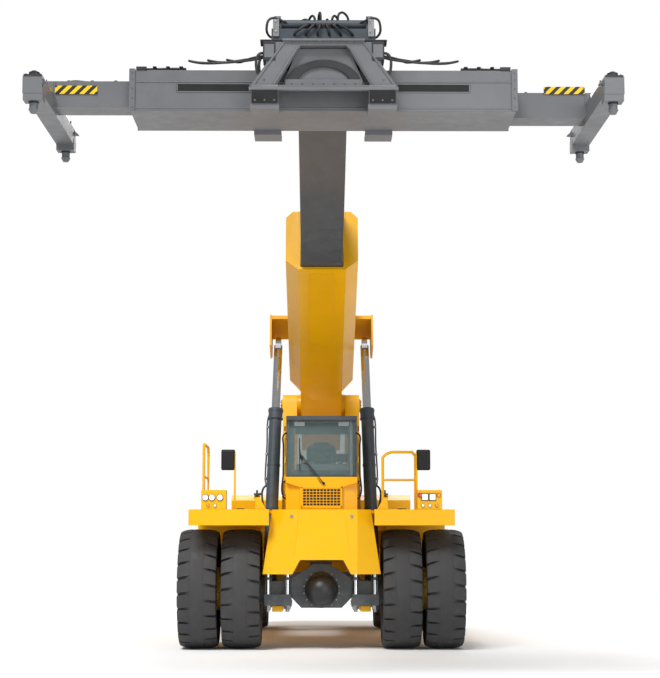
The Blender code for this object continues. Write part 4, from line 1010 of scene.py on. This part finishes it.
def makeCylinders():
    for word, side in sides:
        foot, eye = [Vector(flipped(lift[end], side)) for end in ("foot", "eye")]
        run = (eye - foot).normalized()
        top = foot + run * lift["length"]
        body = "lift_barrel_" + word
        shapes = [rod(foot + run * low, foot + run * high, radius, 32)
                  for low, high, radius in lift["bands"]]
        for index in range(lift["glandBolts"]):
            outward = run.orthogonal().normalized()
            outward.rotate(Matrix.Rotation(2 * math.pi * index / lift["glandBolts"], 3, run))
            shapes.append(bolt(top + outward * lift["glandCircle"] - run * 0.014, run, 0.010))
        build("barrel_bands_" + word, body, "slate", shapes, edge=0.003)
        build("rod_seal_" + word, body, "hose", [rod(top + run * 0.001, top + run * 0.012, 0.084, 32)],
              edge=0.003)
        # the oil pipe outside the barrel, with a hose from its lower end
        outer, front = [(v - run * v.dot(run)).normalized()
                        for v in (Vector((side, 0, 0)), Vector((0, -1, 0)))]
        off = outer * lift["pipeOut"] - front * lift["pipeBack"]
        pipe = [foot + run * along + outer * out + off * on for along, out, on in lift["pipe"]]
        addHoses("oil_pipe_" + word, [pipe], 0.013, body, "slate")
        hose = [foot + run * along + outer * out for along, out in lift["hose"]]
        addHoses("oil_hose_" + word, [hose], 0.016, body)
        centres = [foot + run * along + off for along in lift["clips"]]
        build("pipe_clips_" + word, body, "steel",
              [rod(at - run * 0.018, at + run * 0.018, 0.022, 16) for at in centres], edge=0.002, steps=1)
        caps = [rod((x0, foot.y, foot.z), (x1, foot.y, foot.z), radius, 28)
                for x0, x1, radius in lift["caps"]]
        build("foot_pin_cap_" + word, "chassis", "slate", caps, (side,), edge=0.003)


makeCylinders()

# gussets between the deck and the front body, beside the barrels
gusset = {"outline": [(0.80, 2.032), (0.965, 2.032), (0.945, 2.20), (0.90, 2.20)], "y": (-0.10, -0.075)}
bm = bmesh.new()
for side in both:
    prism(bm, [(side * x, z) for x, z in gusset["outline"]], 1, *gusset["y"])
addPiece("deck_gussets", bm, "chassis", "yellow", edge=0.004)
print("cylinders made")

# spreader main beam: each long face is given as y and the way it looks
spread = {
    "faces": ((-7.51, -1), (-6.61, 1)), "low": 6.06, "high": 6.50, "half": 2.03,
    "seams": ((6.372, 0.007), (6.09, 0.006)),
    "slotX": (0.78, 1.53), "slotZ": (6.27, 6.345), "slotRim": 0.014,
    "collarBolts": (6.10, 6.20, 6.30, 6.40, 6.47), "clipXs": (1.50, 1.64, 1.78), "lineInset": 0.05,
    "line": [(1.45, 0, 0.024), (1.60, 0, 0.026), (1.74, 0.008, 0.024), (1.86, 0, 0.020)], "linePitch": 0.045,
}


def makeMainBeam():
    half, low, high, rim = spread["half"], spread["low"], spread["high"], spread["slotRim"]
    (x0, x1), (z0, z1) = spread["slotX"], spread["slotZ"]
    seams, slotShapes, collars, clips, routes = [], [], [], [], []
    for y, out in spread["faces"]:
        seams += [rod((-half + 0.02, y, z), (half - 0.02, y, z), radius, 10)
                  for z, radius in spread["seams"]]
        slotShapes.append(box((x0, y - out * 0.012, z0), (x1, y + out * 0.004, z1)))
        frameBars = ((x0 - rim, x1 + rim, z1, z1 + 0.012), (x0 - rim, x1 + rim, z0 - 0.012, z0),
                     (x0 - rim, x0, z0, z1), (x1, x1 + rim, z0, z1))
        collars += [box((a, y, c), (b, y + out * 0.006, d)) for a, b, c, d in frameBars]
        # stiffener with bolts where the sliding beam comes out
        collars.append(box((half - 0.05, y, low + 0.005), (half + 0.012, y + out * 0.016, high + 0.012)))
        collars += [bolt((half - 0.022, y + out * 0.015, z), (0, out, 0), 0.009)
                    for z in spread["collarBolts"]]
        # hydraulic lines and clips along the top edges, outside the rotator frame
        edge = y - out * spread["lineInset"]
        for x in spread["clipXs"]:
            clips += [box((x - 0.02, edge + out * 0.03, high + a), (x + 0.02, edge - out * 0.12, high + b))
                      for a, b in ((-0.002, 0.010), (0.036, 0.046))]
            clips.append(bolt((x, edge - out * 0.022, high + 0.046), (0, 0, 1), 0.007))
        clips.append(box((1.86, edge - 0.06, high), (1.97, edge + 0.06, high + 0.035)))
        for side in both:
            for row in range(3):
                shifts = ((0, 0), (0, 0.012 * (row % 2)), (0, 0), (0.03 * row, 0))
                lineY = edge - out * row * spread["linePitch"]
                routes.append([(side * (x + dx), lineY + dy, high + dz + rise)
                               for (x, dy, dz), (dx, rise) in zip(spread["line"], shifts)])
    (front, _), (rear, _) = spread["faces"]
    collars.append(box((half - 0.05, front, high - 0.002), (half + 0.012, rear, high + 0.012)))
    build("beam_seams", "main_beam", "spreader", seams, edge=0)
    build("beam_slots", "main_beam", "plastic", slotShapes, both, edge=0.002, steps=1)
    build("beam_collars", "main_beam", "spreader", collars, both, edge=0.002, steps=1)
    addHoses("beam_lines", routes, 0.013, "main_beam", resolution=3)
    build("beam_clips", "main_beam", "spreaderDark", clips, both, edge=0.001, steps=1)


makeMainBeam()

# sliding beams with their hazard plates, and end beams with twistlock gear
slider = {
    "y": {"left": (-7.465, -7.105), "right": (-7.015, -6.655)},
    "plateX": (2.38, 2.825), "plateZ": {"left": (6.250, 6.338), "right": (6.375, 6.455)},
    "rearPlateZ": (6.250, 6.338), "plateBolts": (2.40, 2.805), "lockX": 2.9265, "middle": -7.06,
    "lockReach": 1.13, "linkX": 2.86, "linkZ": 6.26, "weldX": 2.83,
    "hose": [(2.12, 1, 6.405), (2.45, 1, 6.41), (2.74, 1, 6.40), (2.82, 1.4, 6.30), (2.86, 2, 6.255)],
    "hoseShifts": (-0.05, 0.0, 0.05), "clipXs": (2.2, 2.45, 2.7),
}


def lockGear(y):
    # cover plate, lock motor, its bolts and the twistlock's guide collar
    x = slider["lockX"]
    gear = [box((2.835, y - 0.10, 6.228), (3.02, y + 0.10, 6.243)),
            rod((x, y, 6.24), (x, y, 6.285), 0.055, 24),
            rod((x, y, 6.28), (x, y, 6.30), 0.030, 6), rod((x, y, 5.962), (x, y, 5.978), 0.052, 24)]
    gear += [bolt((x + dx, y + dy, 6.243), (0, 0, 1), 0.010) for dx in (-0.07, 0.07) for dy in (-0.08, 0.08)]
    return gear + [bolt((3.028, y, z), (1, 0, 0), 0.010) for z in (6.02, 6.13, 6.19)]


def makeSlidingBeams():
    middle, reach, x, z = [slider[key] for key in ("middle", "lockReach", "linkX", "linkZ")]
    for word, side in sides:
        body, at = "spreader_" + word, (side,)
        (y0, y1), (z0, z1) = slider["y"][word], slider["plateZ"][word]
        (a, b), (rear0, rear1) = slider["plateX"], slider["rearPlateZ"]
        build("hazard_plate_" + word, body, "stripes", [
            box((a, y0 - 0.014, z0), (b, y0 - 0.001, z1)),
            box((a, y1 + 0.001, rear0), (b, y1 + 0.014, rear1)),
        ], at, edge=0.002, steps=1)
        fittings = [bolt((boltX, y0 - 0.013, boltZ), (0, -1, 0), 0.006)
                    for boltX in slider["plateBolts"] for boltZ in (z0 + 0.012, z1 - 0.012)]
        for face in both:
            fittings += lockGear(middle + face * reach)
        build("end_beam_fittings_" + word, body, "spreaderDark", fittings, at, edge=0.002, steps=1)
        ends = (-7.95, -6.17)
        links = [rod((x, ends[0], z), (x, ends[1], z), 0.016, 14),
                 rod((x, -7.40, z), (x, -6.9, z), 0.036, 24)]
        links += [rod((x, y, 6.225), (x, y, 6.275), 0.028, 20) for y in (ends[0], middle, ends[1])]
        build("lock_rods_" + word, body, "chrome", links, at, edge=0.002, steps=1)
        centre = (y0 + y1) / 2
        addHoses("end_beam_hoses_" + word,
                 [[(side * hoseX, centre + shift * share, hoseZ) for hoseX, share, hoseZ in slider["hose"]]
                  for shift in slider["hoseShifts"]], 0.011, body, resolution=3)
        welds = [box((clipX - 0.015, centre - wide, low), (clipX + 0.015, centre + wide, high))
                 for clipX in slider["clipXs"]
                 for wide, low, high in ((0.09, 6.391, 6.398), (0.08, 6.418, 6.426))]
        weldX = slider["weldX"]
        welds += [rod((weldX, y, 6.12), (weldX, y, 6.38), 0.012, 10) for y in (y0, y1)]
        welds.append(rod((weldX, y0, 6.232), (weldX, y1, 6.232), 0.012, 10))
        build("beam_welds_" + word, body, "spreader", welds, at, edge=0.001, steps=1)


makeSlidingBeams()
print("beams made")

# rotator frame: trim on both faces, each given as y and the way it looks
rotor = {
    "faces": ((-7.78, -1), (-6.34, 1)),
    "plate": [(-0.44, 6.26), (0.44, 6.26), (0.27, 6.68), (-0.27, 6.68)],
    "shadowArch": {"z": 6.27, "radius": 0.29, "width": 0.11, "flat": 0.72, "deep": 0.014, "steps": 20},
    "legStrips": [((0.735, 6.26), (0.405, 6.735)), ((0.515, 6.275), (0.27, 6.67))],
    "legBolts": [(0.71, 6.275), (0.65, 6.275), (0.59, 6.275), (0.53, 6.275), (0.62, 6.33)],
    "loopReach": (1.42, 1.22, 1.02), "loopInset": 0.30,
}


def addShadowArch(bm, y, out):
    # a flattened half ring standing on the lower plate, in near-black paint: painted shade for the shadowed
    # gap under the arched web
    spec = rotor["shadowArch"]
    inner, outer, away = spec["radius"], spec["radius"] + spec["width"], y + out * spec["deep"]
    rings = []
    for index in range(spec["steps"] + 1):
        angle = math.pi * index / spec["steps"]
        c, s = math.cos(angle), math.sin(angle) * spec["flat"]
        rings.append([bm.verts.new((c * radius, at, spec["z"] + s * radius))
                      for radius, at in ((inner, y), (outer, y), (outer, away), (inner, away))])
    loft(bm, rings)


def makeRotator():
    trim, dark, pads, light = bmesh.new(), bmesh.new(), bmesh.new(), bmesh.new()
    for y, out in rotor["faces"]:
        strip, skin = y + out * 0.002, y + out * 0.001
        fill(trim, [box((-0.775, y - 0.03, 6.212), (0.775, y + 0.03, 6.243)),
                    box((-0.43, y - 0.03, 6.735), (0.43, y + 0.03, 6.757)),
                    box((-0.40, y - out * 0.07, 6.255), (0.40, y - out * 0.055, 6.345))])
        fill(trim, [bolt((-0.32 + index * 0.08, skin, 6.715), (0, out, 0), 0.009) for index in range(9)])
        fill(trim, [bolt((-0.33 + index * 0.11, y - out * 0.055, 6.30), (0, out, 0), 0.008)
                    for index in range(7)])
        legs = [rod((x0, strip, z0), (x1, strip, z1), 0.012, 10)
                for (x0, z0), (x1, z1) in rotor["legStrips"]]
        legs += [bolt((x, skin, z), (0, out, 0), 0.010) for x, z in rotor["legBolts"]]
        legs += [bolt((x, y + out * 0.035, 6.10), (0, out, 0), 0.009) for x in (0.51, 0.61, 0.71)]
        for side in both:
            fill(trim, legs, side)
            fill(pads, [box((0.475, y + out * 0.021, 6.07), (0.745, y + out * 0.036, 6.205))], side)
            # side boxes, the shelf over them and their covers
            fill(dark, [box((0.50, y + out * 0.01, 6.53), (0.63, y - out * 0.22, 6.735)),
                        box((0.42, y + out * 0.01, 6.738), (0.66, y - out * 0.22, 6.752))], side)
            fill(light, [box((0.515, y, 6.56), (0.615, y + out * 0.014, 6.70))], side)
        prism(light, rotor["plate"], 1, y - out * 0.10, y - out * 0.085)
        # the near-black half ring is painted shade, not a real part
        addShadowArch(dark, y - out * 0.073, out)
    addPiece("frame_trim", trim, "rotator", "spreader", edge=0.0015, steps=1)
    # side boxes, shelves and covers in near-black, together with the half ring that is painted shade
    addPiece("frame_boxes_and_shadow_arch", dark, "rotator", "spreaderDark", edge=0.006)
    addPiece("frame_pads", pads, "rotator", "plastic", edge=0.003)
    addPiece("frame_plates", light, "rotator", "spreader", edge=0.003)
    # hose loops that hang out over the beam on both sides and travel with the frame
    loops = []
    for side in both:
        for face, way in rotor["faces"]:
            y, out = face - way * rotor["loopInset"], -way
            for row, reach in enumerate(rotor["loopReach"]):
                z = 6.585 + 0.006 * row
                loops.append([(side * x, y + out * dy, height) for x, dy, height in (
                    (0.58, 0.02, 6.66), (0.80, 0, 6.61), (reach - 0.12, -0.01, z), (reach, 0.03, z + 0.03),
                    (reach - 0.14, 0.06, z + 0.012), (0.80, 0.05, 6.64), (0.58, 0.06, 6.69))])
    addHoses("frame_hose_loops", loops, 0.012, "rotator", resolution=3)


makeRotator()

# yoke: valve block, swing motors, end posts, and the hoses over the rotator
yoke = {
    "valves": (-0.15, -0.09, -0.03, 0.03, 0.09, 0.15), "motor": (0.36, -7.22), "motorBolts": 6,
    "boltCircle": 0.06, "fan": 1.7, "rise": 0.035,
    "side": [(0.30, -7.30, 6.99), (0.42, -7.46, 7.04), (0.56, -7.50, 7.06), (0.60, -7.49, 6.98),
             (0.58, -7.42, 6.90), (0.50, -7.36, 6.88)],
    "loop": [(-0.60, -7.74, 6.62), (-0.67, -7.76, 6.60), (-0.70, -7.76, 6.48), (-0.665, -7.75, 6.38),
             (-0.60, -7.73, 6.36)],
}


def makeYoke():
    dark, chrome, light = bmesh.new(), bmesh.new(), bmesh.new()
    fill(dark, [box((-0.20, -7.40, 6.945), (0.20, -7.18, 7.06)),
                box((-0.12, -7.44, 6.955), (0.12, -7.39, 7.03))])
    routes = []
    for index, x in enumerate(yoke["valves"]):
        fill(chrome, [rod((x, -7.445, 7.0), (x, -7.39, 7.0), 0.014, 6),
                      rod((x, -7.30, 7.055), (x, -7.30, 7.085), 0.013, 6)])
        fill(dark, [rod((x, -7.24, 7.05), (x, -7.24, 7.10), 0.018, 16)])
        rise, wide = 7.10 + yoke["rise"] * (index % 3), x * yoke["fan"]
        routes.append([(x, -7.30, 7.085), (x * 1.1, -7.31, rise), (wide, -7.16, rise + 0.02),
                       (wide, -6.9, 7.08), (wide * 0.9, -6.6, 7.04), (wide * 0.8, -6.3, 7.06)])
        routes.append([(x, -7.445, 7.0), (x, -7.50, 7.0), (x * 1.6, -7.52, 6.95), (x * 2.0, -7.50, 6.90),
                       (x * 2.1, -7.44, 6.875)])
    x, y = yoke["motor"]
    for side in both:
        fill(dark, [rod((x, y, 6.90), (x, y, 7.09), 0.075, 28)], side)
        fill(chrome, [rod((x, y, 7.088), (x, y, 7.10), 0.05, 28)], side)
        for dx, dy in circle(yoke["motorBolts"], yoke["boltCircle"]):
            addBolt(chrome, (side * x + dx, y + dy, 7.088), (0, 0, 1), 0.008)
        # light end posts, and pin ends at the head
        fill(light, [box((0.47, -7.50, 6.87), (0.535, -7.484, 7.08)),
                     bolt((0.50, -7.50, 6.92), (0, -1, 0), 0.012),
                     bolt((0.50, -7.50, 7.03), (0, -1, 0), 0.012),
                     rod((0.33, -6.121, 6.95), (0.35, -6.121, 6.95), 0.06, 28)], side)
        routes.append([flipped(point, side) for point in yoke["side"]])
    addPiece("yoke_valves", dark, "tilt_yoke", "plastic", edge=0.006)
    addPiece("yoke_fittings", chrome, "tilt_yoke", "steel", edge=0.001, steps=1)
    addPiece("yoke_posts", light, "tilt_yoke", "steel", edge=0.004)
    addHoses("yoke_hoses", routes, 0.013, "tilt_yoke", resolution=3)
    # the big loop of hose from the frame's side box up towards the yoke
    loop = yoke["loop"]
    addHoses("frame_hose_loop", [loop, [(x + 0.03, y + 0.03, z - 0.02) for x, y, z in loop],
                                 [flipped(point, -1) for point in loop]], 0.015, "rotator")


makeYoke()
print("spreader made")

# boom: weld seams, wear pads, stiffeners and service lines, placed along its own axis
boom = {
    "pivot": (5.28, 3.95), "angle": math.radians(18), "low": -0.35, "high": 0.60, "half": 0.345, "end": 6.0,
    "stiffeners": (4.2, 4.9), "lineClips": (2.2, 2.9, 3.6, 4.3, 5.0),
    "coverBolts": (2.5, 3.2, 3.9, 4.6, 5.0),
    "lineStops": (1.9, 2.4, 3.0, 3.6, 4.2, 4.8, 5.3), "padBolts": (-0.38, -0.24),
    "ear": 0.83, "pin": 0.69, "pinBolts": 6, "pinCircle": 0.07,
}


def onBoom(s, u, x=0.0):
    c, n = math.cos(boom["angle"]), math.sin(boom["angle"])
    y, z = boom["pivot"]
    return Vector((x, y - s * c + u * n, z + s * n + u * c))


def boomBox(bm, alongs, ups, xs):
    for vert in bmesh.ops.create_cube(bm, size=1)["verts"]:
        shares = (vert.co.y + 0.5, vert.co.z + 0.5, vert.co.x + 0.5)
        vert.co = onBoom(*[low + share * (high - low)
                           for share, (low, high) in zip(shares, (alongs, ups, sorted(xs)))])


def makeBoom():
    skin, dark, light = bmesh.new(), bmesh.new(), bmesh.new()
    low, high, half, end = [boom[key] for key in ("low", "high", "half", "end")]
    pads, seamEnd, up = (end - 0.42, end - 0.20), end - 0.14, onBoom(0, 1) - onBoom(0, 0)
    boomBox(skin, (3.4, seamEnd), (low - 0.008, low + 0.01), (-0.19, 0.19))
    for side in both:
        x = side * half
        for s, u, seamX in ((3.3, low + 0.015, side * (half - 0.115)), (1.0, high - 0.05, x)):
            addRod(skin, onBoom(s, u, seamX), onBoom(seamEnd, u, seamX), 0.010, 10)
        for s in boom["stiffeners"]:
            boomBox(skin, (s, s + 0.05), (low + 0.16, high - 0.12), (x, x + side * 0.012))
        # side wear pads held by bolted plates near the mouth
        for u in (low + 0.26, high - 0.22):
            boomBox(light, pads, (u - 0.07, u + 0.07), (x, x + side * 0.022))
            for ds in boom["padBolts"]:
                for du in (-0.045, 0.045):
                    addBolt(dark, onBoom(end + ds, u + du, x + side * 0.020), (side, 0, 0), 0.011)
    # clips of the service lines on the left flank, and a bolted cover on the right one
    for s in boom["lineClips"]:
        boomBox(dark, (s, s + 0.05), (0.02, 0.24), (-half - 0.045, -half + 0.005))
    boomBox(skin, (2.4, 5.1), (0.0, 0.20), (half, half + 0.05))
    for s in boom["coverBolts"]:
        for u in (0.05, 0.15):
            addBolt(dark, onBoom(s, u, half + 0.048), (1, 0, 0), 0.010)
    for s in (end - 0.16, end - 0.04):
        boomBox(skin, (s, s + 0.03), (high - 0.005, high + 0.02), (-half + 0.05, half - 0.05))
    for x in (-0.2, 0.2):
        boomBox(light, pads, (high - 0.002, high + 0.02), (x - 0.08, x + 0.08))
        for ds in boom["padBolts"]:
            for dx in (-0.05, 0.05):
                addBolt(dark, onBoom(end + ds, high + 0.019, x + dx), up, 0.011)
    # the boom's plates take the darker yellow, which is painted shade
    addPiece("boom_plates", skin, "outer_boom", "boomShadedYellow", edge=0.003)
    addPiece("boom_wear_plates", light, "outer_boom", "yellow", edge=0.004)
    addPiece("boom_bolts_and_clips", dark, "outer_boom", "steel", edge=0.001, steps=1)
    routes = [[onBoom(s, 0.06 + index * 0.06 + 0.006 * math.sin(s * 3 + index), -half - 0.022)
               for s in boom["lineStops"]] for index in range(3)]
    addHoses("boom_lines", routes, 0.015, "outer_boom", resolution=3)
    # pin caps on the ears of the lift cylinders and at the boom's pivot
    x, (_, y, z) = boom["ear"], lift["eye"]
    build("ear_pin_caps", "outer_boom", "slate", [
        rod((x - 0.01, y, z), (x + 0.006, y, z), 0.075, 32), rod((x, y, z), (x + 0.012, y, z), 0.03, 6),
    ], both, edge=0.003)
    x, (y, z) = boom["pin"], boom["pivot"]
    build("pivot_pin_caps", "chassis", "slate", [rod((x - 0.01, y, z), (x + 0.014, y, z), 0.10, 36)] + [
        bolt((x + 0.013, y + dy, z + dz), (1, 0, 0), 0.010)
        for dy, dz in circle(boom["pinBolts"], boom["pinCircle"])
    ], both, edge=0.003)
    # inner boom: slide strips polished by the pads, and the end collar round the head
    strips, collar = bmesh.new(), bmesh.new()
    for side in both:
        boomBox(strips, (6.3, 10.3), (-0.2535, -0.2505), (side * 0.10, side * 0.22))
    addPiece("inner_boom_strips", strips, "inner_boom", "steel", edge=0)
    boomBox(collar, (10.30, 10.36), (-0.262, -0.245), (-0.28, 0.28))
    addPiece("inner_boom_collar", collar, "inner_boom", "slate", edge=0.003)


makeBoom()
print("boom made")

# decks and tanks: tread plates with raised bars, steps in the tank's recess, panels and caps
deck = {
    "plates": ((1.08, 1.88, 0.16, 1.78), (1.06, 1.88, 1.92, 5.55)), "pitch": 0.075, "columns": 10,
    "bar": (0.018, 0.004), "turn": 0.78, "steps": (1.14, 1.42, 1.70), "ribs": 6, "ribPitch": 0.085,
    "panels": ((2.75, 4.10), (4.14, 5.50)), "cap": (1.40, 4.9),
}


def makeDecks():
    tread = bmesh.new()
    wide, deep = deck["bar"]
    for side in both:
        for x0, x1, y0, y1 in deck["plates"]:
            a, b = sorted((side * x0, side * x1))
            addBox(tread, (a, y0, 2.0305), (b, y1, 2.036))
            rows, columns = int((y1 - y0) / deck["pitch"]), deck["columns"]
            for i in range(rows):
                for j in range(columns):
                    x, y = a + (b - a) * (j + 0.5) / columns, y0 + (y1 - y0) * (i + 0.5) / rows
                    made = addBox(tread, (x - wide, y - deep, 2.035), (x + wide, y + deep, 2.039))
                    turn = Matrix.Rotation((i + j) % 2 * math.pi / 2 + deck["turn"], 3, "Z")
                    bmesh.ops.rotate(tread, verts=made, cent=(x, y, 2.037), matrix=turn)
    addPiece("deck_treads", tread, "chassis", "tread", edge=0)
    x, y = deck["cap"]
    skin = [rod((x, y, 2.03), (x, y, 2.10), 0.07, 32)]
    dark = [rod((x, y, 2.10), (x, y, 2.135), 0.085, 24, 0.078)]
    for z in deck["steps"]:
        dark.append(box((1.68, 2.11, z), (1.925, 2.60, z + 0.022)))
        ribs = [2.14 + index * deck["ribPitch"] for index in range(deck["ribs"])]
        dark += [box((1.69, y, z + 0.02), (1.915, y + 0.02, z + 0.030)) for y in ribs]
    for y0, y1 in deck["panels"]:
        skin.append(box((1.919, y0, 1.06), (1.928, y1, 1.92)))
        dark += [bolt((1.927, y, z), (1, 0, 0), 0.012) for y in (y0 + 0.06, y1 - 0.06) for z in (1.12, 1.86)]
        middle = (y0 + y1) / 2
        dark.append(box((1.927, middle - 0.07, 1.76), (1.936, middle + 0.07, 1.80)))
    build("tank_panels", "chassis", "yellow", skin, both, edge=0.004)
    build("steps_and_caps", "chassis", "plastic", dark, both, edge=0.002, steps=1)


makeDecks()

# hood: louvred panels and latches on both flanks, seams on top, a grille under the rear window
hood = {"x": 0.62, "panels": (2.74, 3.69), "slats": 9, "slatPitch": 0.037, "tilt": 0.5, "bars": 8}


def makeHood():
    backs, slats, latches, x = bmesh.new(), bmesh.new(), bmesh.new(), hood["x"]
    for side in both:
        for y in hood["panels"]:
            fill(backs, [box((x, y, 2.08), (x + 0.004, y + 0.80, 2.44))], side)
            for index in range(hood["slats"]):
                z = 2.10 + index * hood["slatPitch"]
                fill(slats, [box((x, y + 0.03, z), (x + 0.018, y + 0.77, z + 0.008), (x, y, z),
                                 hood["tilt"], "Y")],
                     side)
            fill(latches, [rod((x, y + 0.40, 2.475), (x + 0.016, y + 0.40, 2.475), 0.028, 24),
                           box((x + 0.012, y + 0.36, 2.468), (x + 0.022, y + 0.44, 2.482))], side)
    fill(slats, [box((-0.50, y - 0.006, 2.615), (0.50, y + 0.006, 2.628)) for y in (3.15, 3.65, 4.15)])
    fill(slats, [box((-0.45, 4.676, 2.06 + index * 0.05), (0.45, 4.69, 2.075 + index * 0.05))
                 for index in range(hood["bars"])])
    fill(latches, [box((x - 0.05, y - 0.02, 2.62), (x + 0.05, y + 0.02, 2.634))
                   for x in (-0.3, 0.3) for y in (2.95, 3.9)])
    addPiece("hood_louvre_backs", backs, "chassis", "plastic", edge=0.001, steps=1)
    addPiece("hood_louvres", slats, "chassis", "yellow", edge=0.001, steps=1)
    addPiece("hood_latches", latches, "chassis", "plastic", edge=0.002, steps=1)


makeHood()

# doors: window rubber, handle, hinges and the outer panel
door = {
    "window": [(1.115, 2.577), (1.745, 2.577), (1.745, 3.305), (1.115, 3.305)],
    "trim": [box((0.545, 1.60, 2.46), (0.572, 1.73, 2.52)),
             rod((0.585, 1.61, 2.49), (0.585, 1.72, 2.49), 0.009, 12),
             rod((0.565, 1.61, 2.49), (0.585, 1.61, 2.49), 0.008, 10),
             rod((0.565, 1.72, 2.49), (0.585, 1.72, 2.49), 0.008, 10),
             box((0.552, 1.066, 2.26), (0.566, 1.11, 2.33)), box((0.552, 1.066, 3.24), (0.566, 1.11, 3.31))],
    "panel": [box((0.554, 1.14, 2.20), (0.563, 1.70, 2.44))],
}
window = [(0.548, y, z) for y, z in door["window"]]
rubber = [rod(first, second, 0.012, 10) for first, second in zip(window, window[1:] + window[:1])]
for word, side in sides:
    build("door_trim_" + word, "door_" + word, "plastic", rubber + door["trim"], (side,), edge=0.002,
          steps=1)
    build("door_panel_" + word, "door_" + word, "yellow", door["panel"], (side,), edge=0.003)

# counterweight: lifting eyes, seams, and the tow pin in its pocket
weight = {
    "eyes": [shape for y in (6.1, 7.8) for shape in (
        rod((1.15, y, 2.39), (1.15, y, 2.43), 0.06, 28), rod((1.15, y - 0.05, 2.47), (1.15, y + 0.05, 2.47),
                                                             0.018, 14),
        rod((1.15, y - 0.05, 2.42), (1.15, y - 0.05, 2.47), 0.018, 14),
        rod((1.15, y + 0.05, 2.42), (1.15, y + 0.05, 2.47), 0.018, 14))],
    "sideSeam": [box((0.5, 8.27, 1.02), (0.52, 8.288, 2.12))],
    "seams": [box((-1.56, 8.268, z), (1.56, 8.288, z + 0.018)) for z in (1.10, 1.85)],
    "tow": [box((-0.16, 8.275, 0.86), (0.16, 8.292, 1.04)), rod((0, 8.31, 0.88), (0, 8.31, 1.10), 0.028, 20),
            box((-0.10, 8.28, 0.90), (0.10, 8.34, 0.925)), box((-0.10, 8.28, 1.0), (0.10, 8.34, 1.025))],
}
skin, dark = bmesh.new(), bmesh.new()
for side in both:
    fill(dark, weight["eyes"], side)
    fill(skin, weight["sideSeam"], side)
fill(skin, weight["seams"])
fill(dark, weight["tow"])
addPiece("counterweight_seams", skin, "chassis", "yellow", edge=0.003)
addPiece("counterweight_fittings", dark, "chassis", "slate", edge=0.004)
print("body details made")


def makeFloor():
    material, tree, shader = startMaterial("studioFloor")
    coords = tree.nodes.new("ShaderNodeTexCoord").outputs["Object"]
    tone = noiseNode(tree, coords, 0.05, 2.0)
    link(tree, mixNode(tree, tone, (0.92, 0.92, 0.92, 1), (0.94, 0.94, 0.94, 1)),
         shader.inputs["Base Color"])
    shader.inputs["Roughness"].default_value = 0.9
    bm = bmesh.new()
    addBox(bm, (-60, -60, -0.3), (60, 18, -0.001))
    mesh = bpy.data.meshes.new("floor")
    bm.to_mesh(mesh)
    bm.free()
    floor = bpy.data.objects.new("floor", mesh)
    bpy.context.scene.collection.objects.link(floor)
    floor.data.materials.append(material)


makeFloor()
